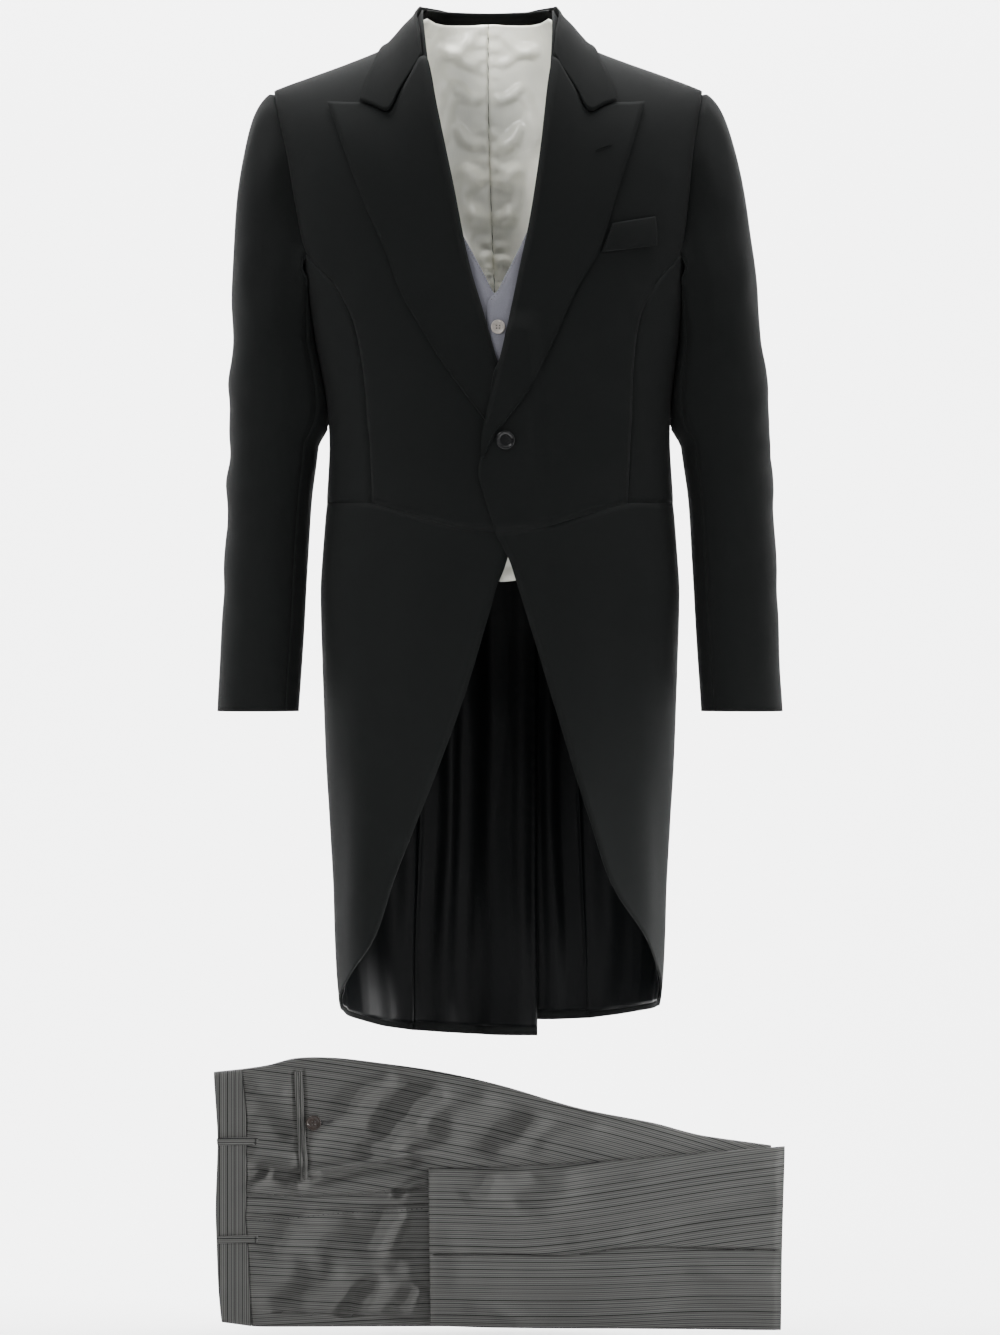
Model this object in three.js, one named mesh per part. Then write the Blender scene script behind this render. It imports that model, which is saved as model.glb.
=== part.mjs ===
// Single-breasted morning suit: cutaway tailcoat over a waistcoat, filled out and hollow,
// and the folded striped trousers under its tails. Millimetres, +Z up, the fronts face -Y.
// The origin is the middle of the neck, on the line of the shoulders.
import * as THREE from "three";

// Driving sizes.
const COAT_WALL = 2;
const WAISTCOAT_WALL = 1.5;
const LINING_WALL = 1;
const SEAM = 0.3;
const LEAN = 12.7;
const LEAN_HEIGHT = 450;
const ARCH_START = -200;
const CORNER = 0.75;
const WAISTCOAT_IN = 8;
const BUTTON_D = 20;
const WAISTCOAT_BUTTON_D = 15;
const TROUSER_FACE = 14;

// Columns: height z, half width of the coat's body.
const HALF_WIDTH = [
  [-1045, 166], [-1007, 168.5], [-955, 173], [-874, 177], [-792, 182], [-670, 187.5],
  [-568, 190], [-527, 188], [-446, 182], [-405, 180.5], [-364, 183], [-300, 193],
  [-229, 204], [-150, 214], [-80, 226], [0, 240], [60, 246],
];
// Columns: height z, depth in front of the side line.
const FRONT_DEPTH = [
  [-1045, 112], [-900, 116], [-700, 120], [-528, 121], [-420, 116], [-330, 120],
  [-200, 118], [-100, 116], [60, 112],
];
// Columns: height z, depth behind the side line.
const BACK_DEPTH = [
  [-1045, 122], [-900, 120], [-700, 118], [-600, 114], [-430, 90], [-330, 96],
  [-150, 104], [0, 100], [60, 96],
];
// Columns: distance x from the middle, height z of the shoulder line.
const SHOULDER = [
  [0, 104], [30, 102], [50, 88], [62, 68], [72, 48], [85, 31], [100, 16], [120, 6.6],
  [150, -4.9], [183, -16.7], [228, -33.4], [250, -45],
];

// Smooth value of a two-column table at a stated place.
function look(table, at) {
  const n = table.length;
  const sign = table[n - 1][0] > table[0][0] ? 1 : -1;
  let i = 0;
  while (i < n - 2 && sign * at > sign * table[i + 1][0]) i++;
  const [x0, y0] = table[i];
  const [x1, y1] = table[i + 1];
  const t = Math.min(1, Math.max(0, (at - x0) / (x1 - x0)));
  const slope = (k) => {
    const a = table[Math.max(0, k - 1)];
    const b = table[Math.min(n - 1, k + 1)];
    return (b[1] - a[1]) / (b[0] - a[0]);
  };
  const h = x1 - x0;
  const t2 = t * t;
  const t3 = t2 * t;
  return (2 * t3 - 3 * t2 + 1) * y0 + (t3 - 2 * t2 + t) * h * slope(i)
    + (3 * t2 - 2 * t3) * y1 + (t3 - t2) * h * slope(i + 1);
}

const power = (v, e) => Math.sign(v) * Math.pow(Math.abs(v), e);
const lerp = (a, b, t) => a + (b - a) * t;
const ease = (t) => {
  const c = Math.min(1, Math.max(0, t));
  return c * c * (3 - 2 * c);
};
const leanAt = (z) => LEAN * ease(-z / LEAN_HEIGHT);

// The body's form without its lean: angle from the middle of the front (0) to the back (180).
function form(angle, z) {
  const a = THREE.MathUtils.degToRad(angle);
  const x = look(HALF_WIDTH, z) * power(Math.sin(a), CORNER);
  const depth = Math.cos(a) > 0 ? look(FRONT_DEPTH, z) : look(BACK_DEPTH, z);
  const top = look(SHOULDER, Math.abs(x));
  const t = Math.min(1, Math.max(0, (z - ARCH_START) / (top - ARCH_START)));
  const arch = Math.sqrt(Math.max(0, 1 - t * t * t));
  return new THREE.Vector3(x, -depth * power(Math.cos(a), CORNER) * arch, Math.min(z, top));
}

function formNormal(angle, z) {
  const x = Math.abs(form(angle, z).x);
  const zc = Math.min(z, look(SHOULDER, x) - 0.02);
  const da = form(angle + 0.4, zc).sub(form(angle - 0.4, zc));
  const dz = form(angle, zc).sub(form(angle, zc - 0.6));
  return da.cross(dz).normalize();
}

// A point of the body moved out along its normal.
const onBody = (angle, z, out = 0) => form(angle, z).addScaledVector(formNormal(angle, z), out);

// Places round the body are written as 0 in the middle of the front, 200 at the side, 400 behind,
// by length along its ring.
const SIDE = 200;
const RING_FLATNESS = 0.62;
const RING = [[0, 0]];
for (let i = 1; i <= 90; i++) {
  const at = (k) => {
    const a = THREE.MathUtils.degToRad(k);
    return [power(Math.sin(a), CORNER), RING_FLATNESS * power(Math.cos(a), CORNER)];
  };
  const [x0, y0] = at(i - 1);
  const [x1, y1] = at(i);
  RING.push([i, RING[i - 1][1] + Math.hypot(x1 - x0, y1 - y0)]);
}
const QUARTER = RING[90][1];
const placeByAngle = RING.map(([a, l]) => [a, (SIDE * l) / QUARTER]);
const angleByPlace = placeByAngle.map(([a, l]) => [l, a]);
function straight(table, at) {
  let i = 0;
  while (i < table.length - 2 && at > table[i + 1][0]) i++;
  const t = (at - table[i][0]) / (table[i + 1][0] - table[i][0]);
  return table[i][1] + t * (table[i + 1][1] - table[i][1]);
}
function angleAt(place) {
  if (place <= SIDE) return Math.sign(place) * straight(angleByPlace, Math.abs(place));
  const fromBack = 2 * SIDE - place;
  return 180 - Math.sign(fromBack) * straight(angleByPlace, Math.abs(fromBack));
}
function placeOf(x, z, back = false) {
  const share = Math.min(1, Math.abs(x) / look(HALF_WIDTH, z));
  const a = THREE.MathUtils.radToDeg(Math.asin(Math.pow(share, 1 / CORNER)));
  const at = Math.sign(x) * straight(placeByAngle, a);
  return back ? 2 * SIDE - at : at;
}
const frontEdge = (points) => points.map(([x, z]) => [placeOf(x, z), z]);
const backEdge = (points) => points.map(([x, z]) => [placeOf(x, z, true), z]);

// A smooth open line through points of any dimension, at share s of its length.
function line(points) {
  const d = [0];
  for (let i = 1; i < points.length; i++) {
    const step = Math.hypot(...points[i].map((v, k) => v - points[i - 1][k]));
    d.push(d[i - 1] + Math.max(step, 1e-6));
  }
  const total = d[d.length - 1];
  return (s) => points[0].map((_, k) => look(points.map((p, i) => [d[i] / total, p[k]]), s));
}

// A patch between four lines that meet at its corners.
function patch(left, right, bottom, top) {
  const [l, r, b, t] = [left, right, bottom, top].map(line);
  const [c00, c10, c01, c11] = [l(0), r(0), l(1), r(1)];
  return (u, v) => c00.map((_, k) =>
    (1 - u) * l(v)[k] + u * r(v)[k] + (1 - v) * b(u)[k] + v * t(u)[k]
    - (1 - u) * (1 - v) * c00[k] - u * (1 - v) * c10[k] - (1 - u) * v * c01[k] - u * v * c11[k]);
}

// A closed body between two grids of points that share their size.
function between(outer, inner) {
  const rows = outer.length;
  const cols = outer[0].length;
  const points = [...outer.flat(), ...inner.flat()];
  const at = (i, j, side) => side * rows * cols + i * cols + j;
  const faces = [];
  const quad = (a, b, c, d) => faces.push(a, b, c, a, c, d);
  for (let i = 0; i < rows - 1; i++) {
    for (let j = 0; j < cols - 1; j++) {
      quad(at(i, j, 0), at(i, j + 1, 0), at(i + 1, j + 1, 0), at(i + 1, j, 0));
      quad(at(i, j, 1), at(i + 1, j, 1), at(i + 1, j + 1, 1), at(i, j + 1, 1));
    }
    quad(at(i, 0, 0), at(i + 1, 0, 0), at(i + 1, 0, 1), at(i, 0, 1));
    quad(at(i + 1, cols - 1, 0), at(i, cols - 1, 0), at(i, cols - 1, 1), at(i + 1, cols - 1, 1));
  }
  for (let j = 0; j < cols - 1; j++) {
    quad(at(0, j + 1, 0), at(0, j, 0), at(0, j, 1), at(0, j + 1, 1));
    quad(at(rows - 1, j, 0), at(rows - 1, j + 1, 0), at(rows - 1, j + 1, 1), at(rows - 1, j, 1));
  }
  return solid(points, faces);
}

// Geometry with its faces turned outwards.
function solid(points, faces) {
  let volume = 0;
  for (let i = 0; i < faces.length; i += 3) {
    const [a, b, c] = [points[faces[i]], points[faces[i + 1]], points[faces[i + 2]]];
    volume += a.dot(new THREE.Vector3().crossVectors(b, c));
  }
  if (volume < 0) {
    for (let i = 0; i < faces.length; i += 3) {
      [faces[i + 1], faces[i + 2]] = [faces[i + 2], faces[i + 1]];
    }
  }
  const geometry = new THREE.BufferGeometry();
  geometry.setAttribute("position", new THREE.Float32BufferAttribute(
    points.flatMap((p) => [p.x, p.y, p.z]), 3));
  geometry.setIndex(faces);
  geometry.computeVertexNormals();
  return geometry;
}

const grid = (rows, cols, make) => Array.from({ length: rows + 1 }, (_, i) =>
  Array.from({ length: cols + 1 }, (_, j) => make(j / cols, i / rows)));

// The lean and the side of the body are given to a finished point.
function place(p, side) {
  return new THREE.Vector3(side * p.x + leanAt(p.z), p.y, p.z);
}

const suit = new THREE.Group();
suit.name = "single_breasted_suit";

const cloth = (colour, roughness) =>
  new THREE.MeshStandardMaterial({ color: colour, roughness, metalness: 0 });
const COAT = cloth(0x0c0d0e, 0.82);
const COLLAR = cloth(0x08090a, 0.85);
const TAIL_LINING = cloth(0x17181a, 0.4);
const WAISTCOAT = cloth(0x82828c, 0.8);
const SATIN = cloth(0xafaca0, 0.38);
const TROUSER = cloth(0x5c5d5f, 0.85);
const TROUSER_BAND = cloth(0x55565a, 0.85);
const BLACK_BUTTON = cloth(0x0a0a0b, 0.2);
const GREY_BUTTON = cloth(0xa9a49d, 0.3);
const BROWN_BUTTON = cloth(0x2b201b, 0.35);

function add(name, geometry, material) {
  const mesh = new THREE.Mesh(geometry, material);
  mesh.name = name;
  suit.add(mesh);
}

// A sheet of cloth on the body, from a grid of places: its outer face stands out by a stated
// amount, and it keeps to its own side of the shoulder line.
function sheet(name, material, side, places, wall, out = () => 0) {
  const face = (away) => places.map((row) => row.map(([at, z]) => {
    const p = onBody(angleAt(at), z, out(at, z) - away);
    p.y = at > SIDE ? Math.max(p.y, SEAM / 2) : Math.min(p.y, at < SIDE ? -SEAM / 2 : 0);
    return place(p, side);
  }));
  add(name, between(face(0), face(wall)), material);
}
const places = (rows, cols, area, stations = (v) => v) =>
  grid(rows, cols, (u, v) => area(u, stations(v)));

// Columns: distance x, height z, as seen from the front unless the name says back.
const ARMHOLE_FRONT = [
  [196.5, -210], [202, -192], [209, -146], [214, -105], [222, -64], [227, -34],
];
const ARMHOLE_BACK = [[203, -155], [210, -110], [220, -66], [227, -34]];
const SIDE_SEAM = [
  [133.5, -473], [138, -388], [142, -328], [148, -288], [157, -264], [172, -239], [196.5, -210],
];
const BACK_SEAM = [
  [72, -465], [70, -430], [78, -360], [98, -290], [140, -220], [176, -180], [203, -155],
];
const BACK_SEAM_LOW = [[90, -850], [80, -650], [72, -465]];
// The tails' hems, from the middle of the back outwards; the left tail laps inside the right.
const TAIL_LEFT = [[-41, -1042], [26, -1041], [95, -1036]];
const TAIL_RIGHT = [[0, -1024], [50, -1025], [96, -1023]];
const VENT_LEFT = [[-41, -1042], [-41, -850], [-41, -600], [-38, -530], [0, -480], [0, -420]];
const VENT_RIGHT = [[0, -1024], [0, -850], [0, -600], [0, -530], [0, -480], [0, -420]];
const VENT_LAP = 5.6;
const WAIST_FRONT = [[133.5, -473], [88, -486], [48, -498], [20, -502]];
const BACK_NECK = [[0.2, 12], [30, 14], [52, 25], [66, 40], [71, 48]];
const ROLL_LEFT = [
  [0, -326], [11.8, -279], [25.7, -223], [38.3, -143], [52, -65], [60.7, -12], [66.8, 40],
];
const ROLL_RIGHT = [
  [-17.5, -399], [0.8, -326], [11.8, -287], [25.8, -231], [40.5, -171], [53, -102], [62, -30],
  [66, 20],
];
const EDGE_RIGHT = [[-5, -503], [-11, -485], [-17.6, -463], [-22.8, -443], [-20, -425]];
const EDGE_LEFT = [[-16, -503], [-17, -450], [-16, -400], [-10, -360]];
const LAPEL_LEFT = [
  [6, -392], [14.9, -386], [49.9, -338.5], [74.5, -298], [98.7, -252], [109.7, -217],
  [135.6, -150], [157.8, -82], [167.6, -51.6],
];
const LAPEL_RIGHT = [
  [-18.5, -426], [-4.3, -398.5], [8.7, -384], [29.4, -358], [45.8, -330], [63.4, -294.6],
  [85.2, -250], [109.2, -210.6], [140.4, -121], [159.9, -63], [162.5, -51.6],
];
const GORGE = [[66, -5], [77, -23], [91, -45], [104, -66]];
const PEAK = [[104, -66], [120, -59], [133, -54], [148, -53]];
const CUT_LEFT = [
  [169, -1006], [139.8, -941], [109.6, -861], [73.4, -772], [37.5, -675], [0.3, -552],
  [-8, -530], [-16, -503],
];
const CUT_RIGHT = [
  [169, -1002], [125.6, -885], [92.5, -799], [59.7, -694], [40.2, -630], [15.9, -552],
  [8.6, -530], [5, -524], [-5, -503],
];

const VEST_EDGE_RIGHT = [[-9, -510], [-9, -268], [1.6, -254], [29, -205], [75, -112], [91, -25]];
const VEST_EDGE_LEFT = [[-9, -510], [-9, -274], [0, -256], [19.5, -217], [70, -119], [90, -25]];
const VEST_ARM = [[196, -255], [187, -225], [182, -170], [172, -80]];

const shift = (points, dx) => points.map(([x, z]) => [x + dx, z]);
const turned = (points) => [...points].reverse();

// The height of the shoulder line at a stated angle, a hair below it so that two sheets can meet.
function ridge(at) {
  const share = Math.abs(power(Math.sin(THREE.MathUtils.degToRad(angleAt(at))), CORNER));
  let z = 0;
  for (let i = 0; i < 60; i++) {
    z = lerp(z, look(SHOULDER, look(HALF_WIDTH, z) * share), 0.5);
  }
  return z - 0.0003;
}
// An area with its top on the shoulder line, with its rows closer together near the top.
const toRidge = (area, share = 1) => (u, v) => {
  const [at, z] = area(u, v);
  return [at, v > 0.9999 && u >= 1 - share ? ridge(at) : Math.min(z, ridge(at))];
};
const crowd = (v) => 1 - Math.pow(1 - v, 1.7);
const inset = (area, left, right, bottom, top) => (u, v) =>
  area(lerp(left, 1 - right, u), lerp(bottom, 1 - top, v));

const shoulderLine = (from, to, back) => Array.from({ length: 9 }, (_, i) => {
  const x = lerp(from, to, i / 8);
  return [placeOf(x, look(SHOULDER, x), back), look(SHOULDER, x)];
});

// How far the front on top stands out over the one below it.
function lap(x, z) {
  const height = lerp(3, 6, ease((z + 470) / 35)) * ease((-268 - z) / 30);
  return height * ease((50 - x) / 18) * ease((z + 600) / 45);
}
const acrossOf = (at, z) => (at > SIDE ? 2 * SIDE : form(angleAt(at), z).x);
// Rows of a patch: a stated number up to a corner of its right edge, then the rest, crowded.
function stations(corner, below, above) {
  const low = Array.from({ length: below }, (_, i) => (corner * i) / below);
  const high = Array.from({ length: above + 1 }, (_, i) =>
    lerp(corner, 1, 1 - Math.pow(1 - i / above, 1.6)));
  return [...low, ...high];
}
const lengthOf = (points) => points.slice(1).reduce((sum, p, i) =>
  sum + Math.hypot(p[0] - points[i][0], p[1] - points[i][1]), 0);
const byStations = (list, cols, area) => list.map((v) =>
  Array.from({ length: cols + 1 }, (_, j) => area(j / cols, v)));
const SEAM_ROWS = 12;

// Columns: height z, nearest and farthest distance x of the hanging sleeve.
const SLEEVE_IN = [
  [-300, 195.5], [-364, 185], [-393, 189.8], [-425, 193.6], [-466, 199], [-532, 203],
  [-609, 207], [-690, 212],
];
const SLEEVE_OUT = [
  [-300, 281], [-385, 286.7], [-466, 288.6], [-548, 293], [-654, 296.5], [-690, 298],
];
// Columns: height z, half depth and middle depth of the sleeve.
const SLEEVE_DEPTH = [[-300, 59], [-450, 54], [-560, 51], [-690, 47]];
const SLEEVE_SWING = [[-300, 0], [-450, -4], [-560, -14], [-690, -30]];
const SLEEVE_START = -300;
const CUFF = -690;
const SLEEVE_SEAM_FRONT = 132;
const SLEEVE_SEAM_BACK = -112;

// A sleeve round an armhole: front, underarm and back are runs of points on the body.
function sleeveForm(front, under, behind) {
  const lines = [front, under, behind].map((run) => line(run.map((p) => [p.x, p.y, p.z])));
  const armhole = (angle) => {
    const a = ((angle % 360) + 360) % 360;
    if (a < 130) return lines[0](a / 130);
    return a < 232 ? lines[1]((a - 130) / 102) : lines[2]((a - 232) / 128);
  };
  const ring = (angle, z) => {
    const a = THREE.MathUtils.degToRad(angle);
    const near = look(SLEEVE_IN, z);
    const far = look(SLEEVE_OUT, z);
    return new THREE.Vector3((near + far) / 2 + ((far - near) / 2) * power(Math.cos(a), 0.9),
      look(SLEEVE_SWING, z) - look(SLEEVE_DEPTH, z) * power(Math.sin(a), 0.9), z);
  };
  return (angle, s) => {
    if (s >= 0.4) return ring(angle, lerp(SLEEVE_START, CUFF, (s - 0.4) / 0.6));
    const a = new THREE.Vector3(...armhole(angle));
    a.x += 2 * SEAM;
    const e = ring(angle, SLEEVE_START);
    const up = (1 + Math.cos(THREE.MathUtils.degToRad(angle))) / 2;
    const swell = Math.sin(THREE.MathUtils.degToRad(angle));
    const first = a.clone().add(new THREE.Vector3(2 + 28 * up, -7 * swell, -14 * (1 - up)));
    const last = e.clone().add(new THREE.Vector3(-4 * up, 0, 18 + 125 * up));
    return new THREE.CubicBezierCurve3(a, first, last, e).getPoint(s / 0.4);
  };
}
function sleeveSheet(name, side, form3, from, to, rows, cols) {
  const steps = Array.from({ length: rows + 1 }, (_, i) => i / rows);
  const make = (away) => steps.map((s) => Array.from({ length: cols + 1 }, (_, j) => {
    const angle = lerp(from, to, j / cols);
    const along = form3(angle, Math.min(1, s + 0.004)).sub(form3(angle, Math.max(0, s - 0.004)));
    const round = form3(angle + 1, s).sub(form3(angle - 1, s));
    const normal = along.cross(round).normalize();
    return place(form3(angle, s).addScaledVector(normal, away), side);
  }));
  add(name, between(make(0), make(COAT_WALL * SLEEVE_INWARD)), COAT);
}
const SLEEVE_INWARD = 1;

for (const side of [-1, 1]) {
  const word = side < 0 ? "left" : "right";
  const roll = side < 0 ? ROLL_LEFT : ROLL_RIGHT;
  const edge = side < 0 ? EDGE_LEFT : EDGE_RIGHT;
  const cut = side < 0 ? CUT_LEFT : CUT_RIGHT;
  const waist = turned([...WAIST_FRONT, edge[0]]);
  const over = (at, z) => (side < 0 ? 0 : lap(acrossOf(at, z), z));

  const frontTop = shoulderLine(69.5, 227, false);
  const sideSeam = frontEdge(SIDE_SEAM);
  const foreRight = [...sideSeam, ...frontEdge(ARMHOLE_FRONT).slice(1, -1), frontTop[8]];
  const forepart = patch([...frontEdge([...edge, ...shift(roll, 2.5)]), frontTop[0]], foreRight,
    frontEdge(waist), frontTop);
  const foreRows = stations(lengthOf(sideSeam) / lengthOf(foreRight), SEAM_ROWS, 10);
  const forePlaces = byStations(foreRows, 10, toRidge(inset(forepart, 0, 0, 0.0012, 0)));
  sheet("forepart_" + word, COAT, side, forePlaces, COAT_WALL, over);

  const outerTop = shoulderLine(71, 227, true);
  const tail = side < 0 ? TAIL_LEFT : TAIL_RIGHT;
  const middle = backEdge([...(side < 0 ? VENT_LEFT : VENT_RIGHT), [0, -200], [0, 12]]);
  const seamLow = backEdge([tail[2], ...BACK_SEAM_LOW]);
  const backLow = [...seamLow, ...backEdge(BACK_SEAM).slice(1)];
  const folded = (at, z) => -VENT_LAP * ease((at - 380) / 14) * ease((-446 - z) / 14);
  const backOut = (at, z) => (side < 0 ? folded(at, z) : 0);
  const backRight = [...backLow, ...backEdge(ARMHOLE_BACK).slice(1, -1), outerTop[8]];
  const back = patch(middle, backRight, backEdge(tail),
    [middle.at(-1), ...backEdge(BACK_NECK).slice(1, -1), ...outerTop]);
  const toWaist = lengthOf(seamLow) / lengthOf(backRight);
  const toArm = lengthOf(backLow) / lengthOf(backRight);
  const tailStations = Array.from({ length: 10 }, (_, i) => (toWaist * i) / 10);
  const bodyStations = stations((toArm - toWaist) / (1 - toWaist), SEAM_ROWS, 8)
    .map((v) => lerp(toWaist, 1, v));
  const backPlaces = byStations([...tailStations, ...bodyStations], 8,
    toRidge(inset(back, 0.0008, 0, 0, 0), 0.6));
  sheet("back_" + word, COAT, side, backPlaces, COAT_WALL, backOut);

  // The side body lies between the two seams, row for row.
  const sidePlaces = grid(SEAM_ROWS, 10, (u, v) => {
    const row = Math.round(v * SEAM_ROWS);
    const from = forePlaces[row].at(-1);
    const to = backPlaces[tailStations.length + row].at(-1);
    const z = lerp(from[1], to[1], u) - 34 * Math.pow(v, 4) * Math.sin(Math.PI * Math.pow(u, 0.85));
    return [lerp(from[0] + SEAM, to[0] - SEAM, u), z];
  });
  sheet("side_body_" + word, COAT, side, sidePlaces, COAT_WALL);

  const hem = [
    frontEdge([cut[0]])[0], ...backEdge(side < 0 ? [[157, -1019], [128, -1030]]
      : [[158, -1010], [132, -1017]]), seamLow[0],
  ];
  const skirt = patch(frontEdge(cut), seamLow, hem,
    [...frontEdge(waist), ...sidePlaces[0].slice(1, -1), backEdge([BACK_SEAM[0]])[0]]);
  const skirtPlaces = places(12, 13, inset(skirt, 0, 0.003, 0, 0.0025));
  sheet("skirt_" + word, COAT, side, skirtPlaces, COAT_WALL, over);

  // The lining inside the tails follows the panels that it lies on.
  const inside = (at, z) => over(at, z) - COAT_WALL - 1.5 * SEAM;
  sheet("skirt_lining_" + word, TAIL_LINING, side, skirtPlaces.slice(1, 12).map((r) => r.slice(1)),
    LINING_WALL, inside);
  const tailRows = backPlaces.slice(1, tailStations.length);
  sheet("back_lining_" + word, TAIL_LINING, side, tailRows, LINING_WALL,
    (at, z) => backOut(at, z) - COAT_WALL - 1.5 * SEAM);

  const lapelRoll = side < 0 ? [[2, -394], [-3, -360], ...ROLL_LEFT.slice(0, 6)]
    : [[-20, -427], ...ROLL_RIGHT.slice(0, 7)];
  const lapelEdge = side < 0 ? LAPEL_LEFT : LAPEL_RIGHT;
  const lapelTop = [...GORGE, ...PEAK.slice(1), lapelEdge.at(-1)];
  const rollLine = [...lapelRoll, lapelTop[0]];
  const lapel = patch(frontEdge(rollLine), frontEdge(lapelEdge),
    frontEdge([lapelRoll[0], lapelEdge[0]]), frontEdge(lapelTop));
  const lapelOut = (at, z) => {
    const reach = acrossOf(at, z) - look(rollLine.map(([a, b]) => [b, a]), z);
    const bulge = 3.2 * Math.exp(-Math.pow((reach - 6) / 22, 2)) * ease((z + 330) / 90);
    return over(at, z) + COAT_WALL + (reach < 1 ? 0.6 : 1.2 + bulge);
  };
  sheet("lapel_" + word, COAT, side, places(18, 7, inset(lapel, 0, 0, 0, 0.006)), COAT_WALL,
    lapelOut);

  const onForm = (list) => list.map(([at, z]) => onBody(angleAt(at), z));
  const armFront = onForm(turned(forePlaces.slice(SEAM_ROWS).map((row) => row.at(-1))));
  const armUnder = onForm(sidePlaces[SEAM_ROWS].slice(1, -1));
  const armBack = onForm(backPlaces.slice(tailStations.length + SEAM_ROWS).map((r) => r.at(-1)));
  const tip = armFront[0].clone().lerp(armBack.at(-1), 0.5);
  const arm = sleeveForm([tip, ...armFront.slice(1)],
    [armFront.at(-1), ...armUnder, armBack[0]], [...armBack.slice(0, -1), tip]);
  sleeveSheet("top_sleeve_" + word, side, arm, SLEEVE_SEAM_BACK, SLEEVE_SEAM_FRONT - 0.4, 14, 12);
  sleeveSheet("under_sleeve_" + word, side, arm, SLEEVE_SEAM_FRONT, 359.6 + SLEEVE_SEAM_BACK,
    14, 6);

  // The waistcoat inside: its fronts reach the side, its satin back closes it.
  const inner = (at, z) => -WAISTCOAT_IN + (side < 0 || at > SIDE ? 0
    : 2.6 * ease((32 - acrossOf(at, z)) / 12)) + 1.5 * ease(z / 40) - (at > SIDE ? 5 * ease((-440 - z) / 60) : 0);
  const vestTop = shoulderLine(94, 165, false);
  const vestFront = patch(
    [...frontEdge(side < 0 ? VEST_EDGE_LEFT : VEST_EDGE_RIGHT), vestTop[0]],
    [[199, -505], [199, -380], [199, -280], [196, -252], ...frontEdge(VEST_ARM).slice(1), vestTop[8]],
    [frontEdge(VEST_EDGE_RIGHT)[0], ...frontEdge([[40, -524], [110, -514]]), [199, -505]],
    vestTop,
  );
  sheet("waistcoat_front_" + word, WAISTCOAT, side,
    byStations(stations(0.5, 6, 8), 8, toRidge(vestFront)), WAISTCOAT_WALL, inner);
  const vestTopBack = shoulderLine(72, 165, true);
  const vestBack = patch(
    backEdge([[0, -549], [0, -200], [0, 46]]),
    [[201, -505], [201, -380], [201, -280], [204, -252], ...backEdge(VEST_ARM).slice(1),
      vestTopBack[8]],
    [[400, -549], [300, -535], [201, -505]],
    [...backEdge([[0, 46], [35, 47], [60, 48.5]]), ...vestTopBack],
  );
  sheet("waistcoat_back_" + word, SATIN, side,
    byStations(stations(0.5, 6, 8), 8, toRidge(inset(vestBack, 0.0008, 0, 0, 0), 0.6)),
    WAISTCOAT_WALL, inner);
}

// The body as a level: 1 on its face, more outside. Used to lay the collar over it.
function level(p) {
  const x = Math.abs(p.x);
  const share = Math.min(0.98, x / look(HALF_WIDTH, p.z));
  const depth = look(p.y < 0 ? FRONT_DEPTH : BACK_DEPTH, p.z)
    * Math.pow(1 - Math.pow(share, 2 / CORNER), CORNER / 2);
  const t = Math.max(0, (p.z - ARCH_START) / (look(SHOULDER, x) - ARCH_START));
  return Math.pow(p.y / depth, 2) + t * t * t;
}
function levelSlope(p) {
  const d = 0.5;
  const part = (axis) => {
    const q = p.clone();
    q[axis] += d;
    const high = level(q);
    q[axis] -= 2 * d;
    return (high - level(q)) / (2 * d);
  };
  return new THREE.Vector3(part("x"), part("y"), part("z"));
}
function clearOf(p, least) {
  for (let i = 0; i < 12; i++) {
    const slope = levelSlope(p);
    const away = (level(p) - 1) / slope.length();
    if (away >= least - 0.01) break;
    p.addScaledVector(slope.normalize(), (least - away) * 0.8);
  }
  return p;
}

// The collar: a stand round the back of the neck and the fall that turns down over it.
const CREASE_BACK = [[68, 2, 54], [62, 30, 57], [45, 58, 58], [22, 71, 58.5], [0, 75, 58.5]];
const FALL_BACK = [[107, 0, 17], [99, 32, 9], [76, 62, 6], [40, 86, 7], [0, 94, 8]];
const FALL_FRONT = [[133, -53], [127, -32], [117, -8]];
const COLLAR_LIFT = 4.2;
const triple = (p) => [p.x, p.y, p.z];
const frontPoint = ([x, z], out) => triple(onBody(angleAt(placeOf(x, z)), z, out));

const gorge = [...GORGE, ...PEAK.slice(1, 3)].map((p) => frontPoint(p, COLLAR_LIFT));
const crease = [gorge[0], frontPoint([68, 22], COLLAR_LIFT), ...CREASE_BACK];
const fallEdge = [gorge.at(-1), ...FALL_FRONT.slice(1).map((p) => frontPoint(p, COLLAR_LIFT)),
  ...FALL_BACK];
const fall = patch(crease, fallEdge, gorge, [CREASE_BACK.at(-1), [0, 86, 50], FALL_BACK.at(-1)]);
const fallHalf = (side, away) => grid(13, 5, (u, v) => {
  const p = new THREE.Vector3(...fall(u, v));
  clearOf(p, COLLAR_LIFT + 2.2 * Math.sin(Math.PI * Math.min(1, u * 1.02)));
  return place(p.addScaledVector(levelSlope(p).normalize(), -away), side);
});
const wholeFall = (away) => [...fallHalf(-1, away), ...turned(fallHalf(1, away)).slice(1)];
add("collar_fall", between(wholeFall(0), wholeFall(COAT_WALL)), COLLAR);

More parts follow.
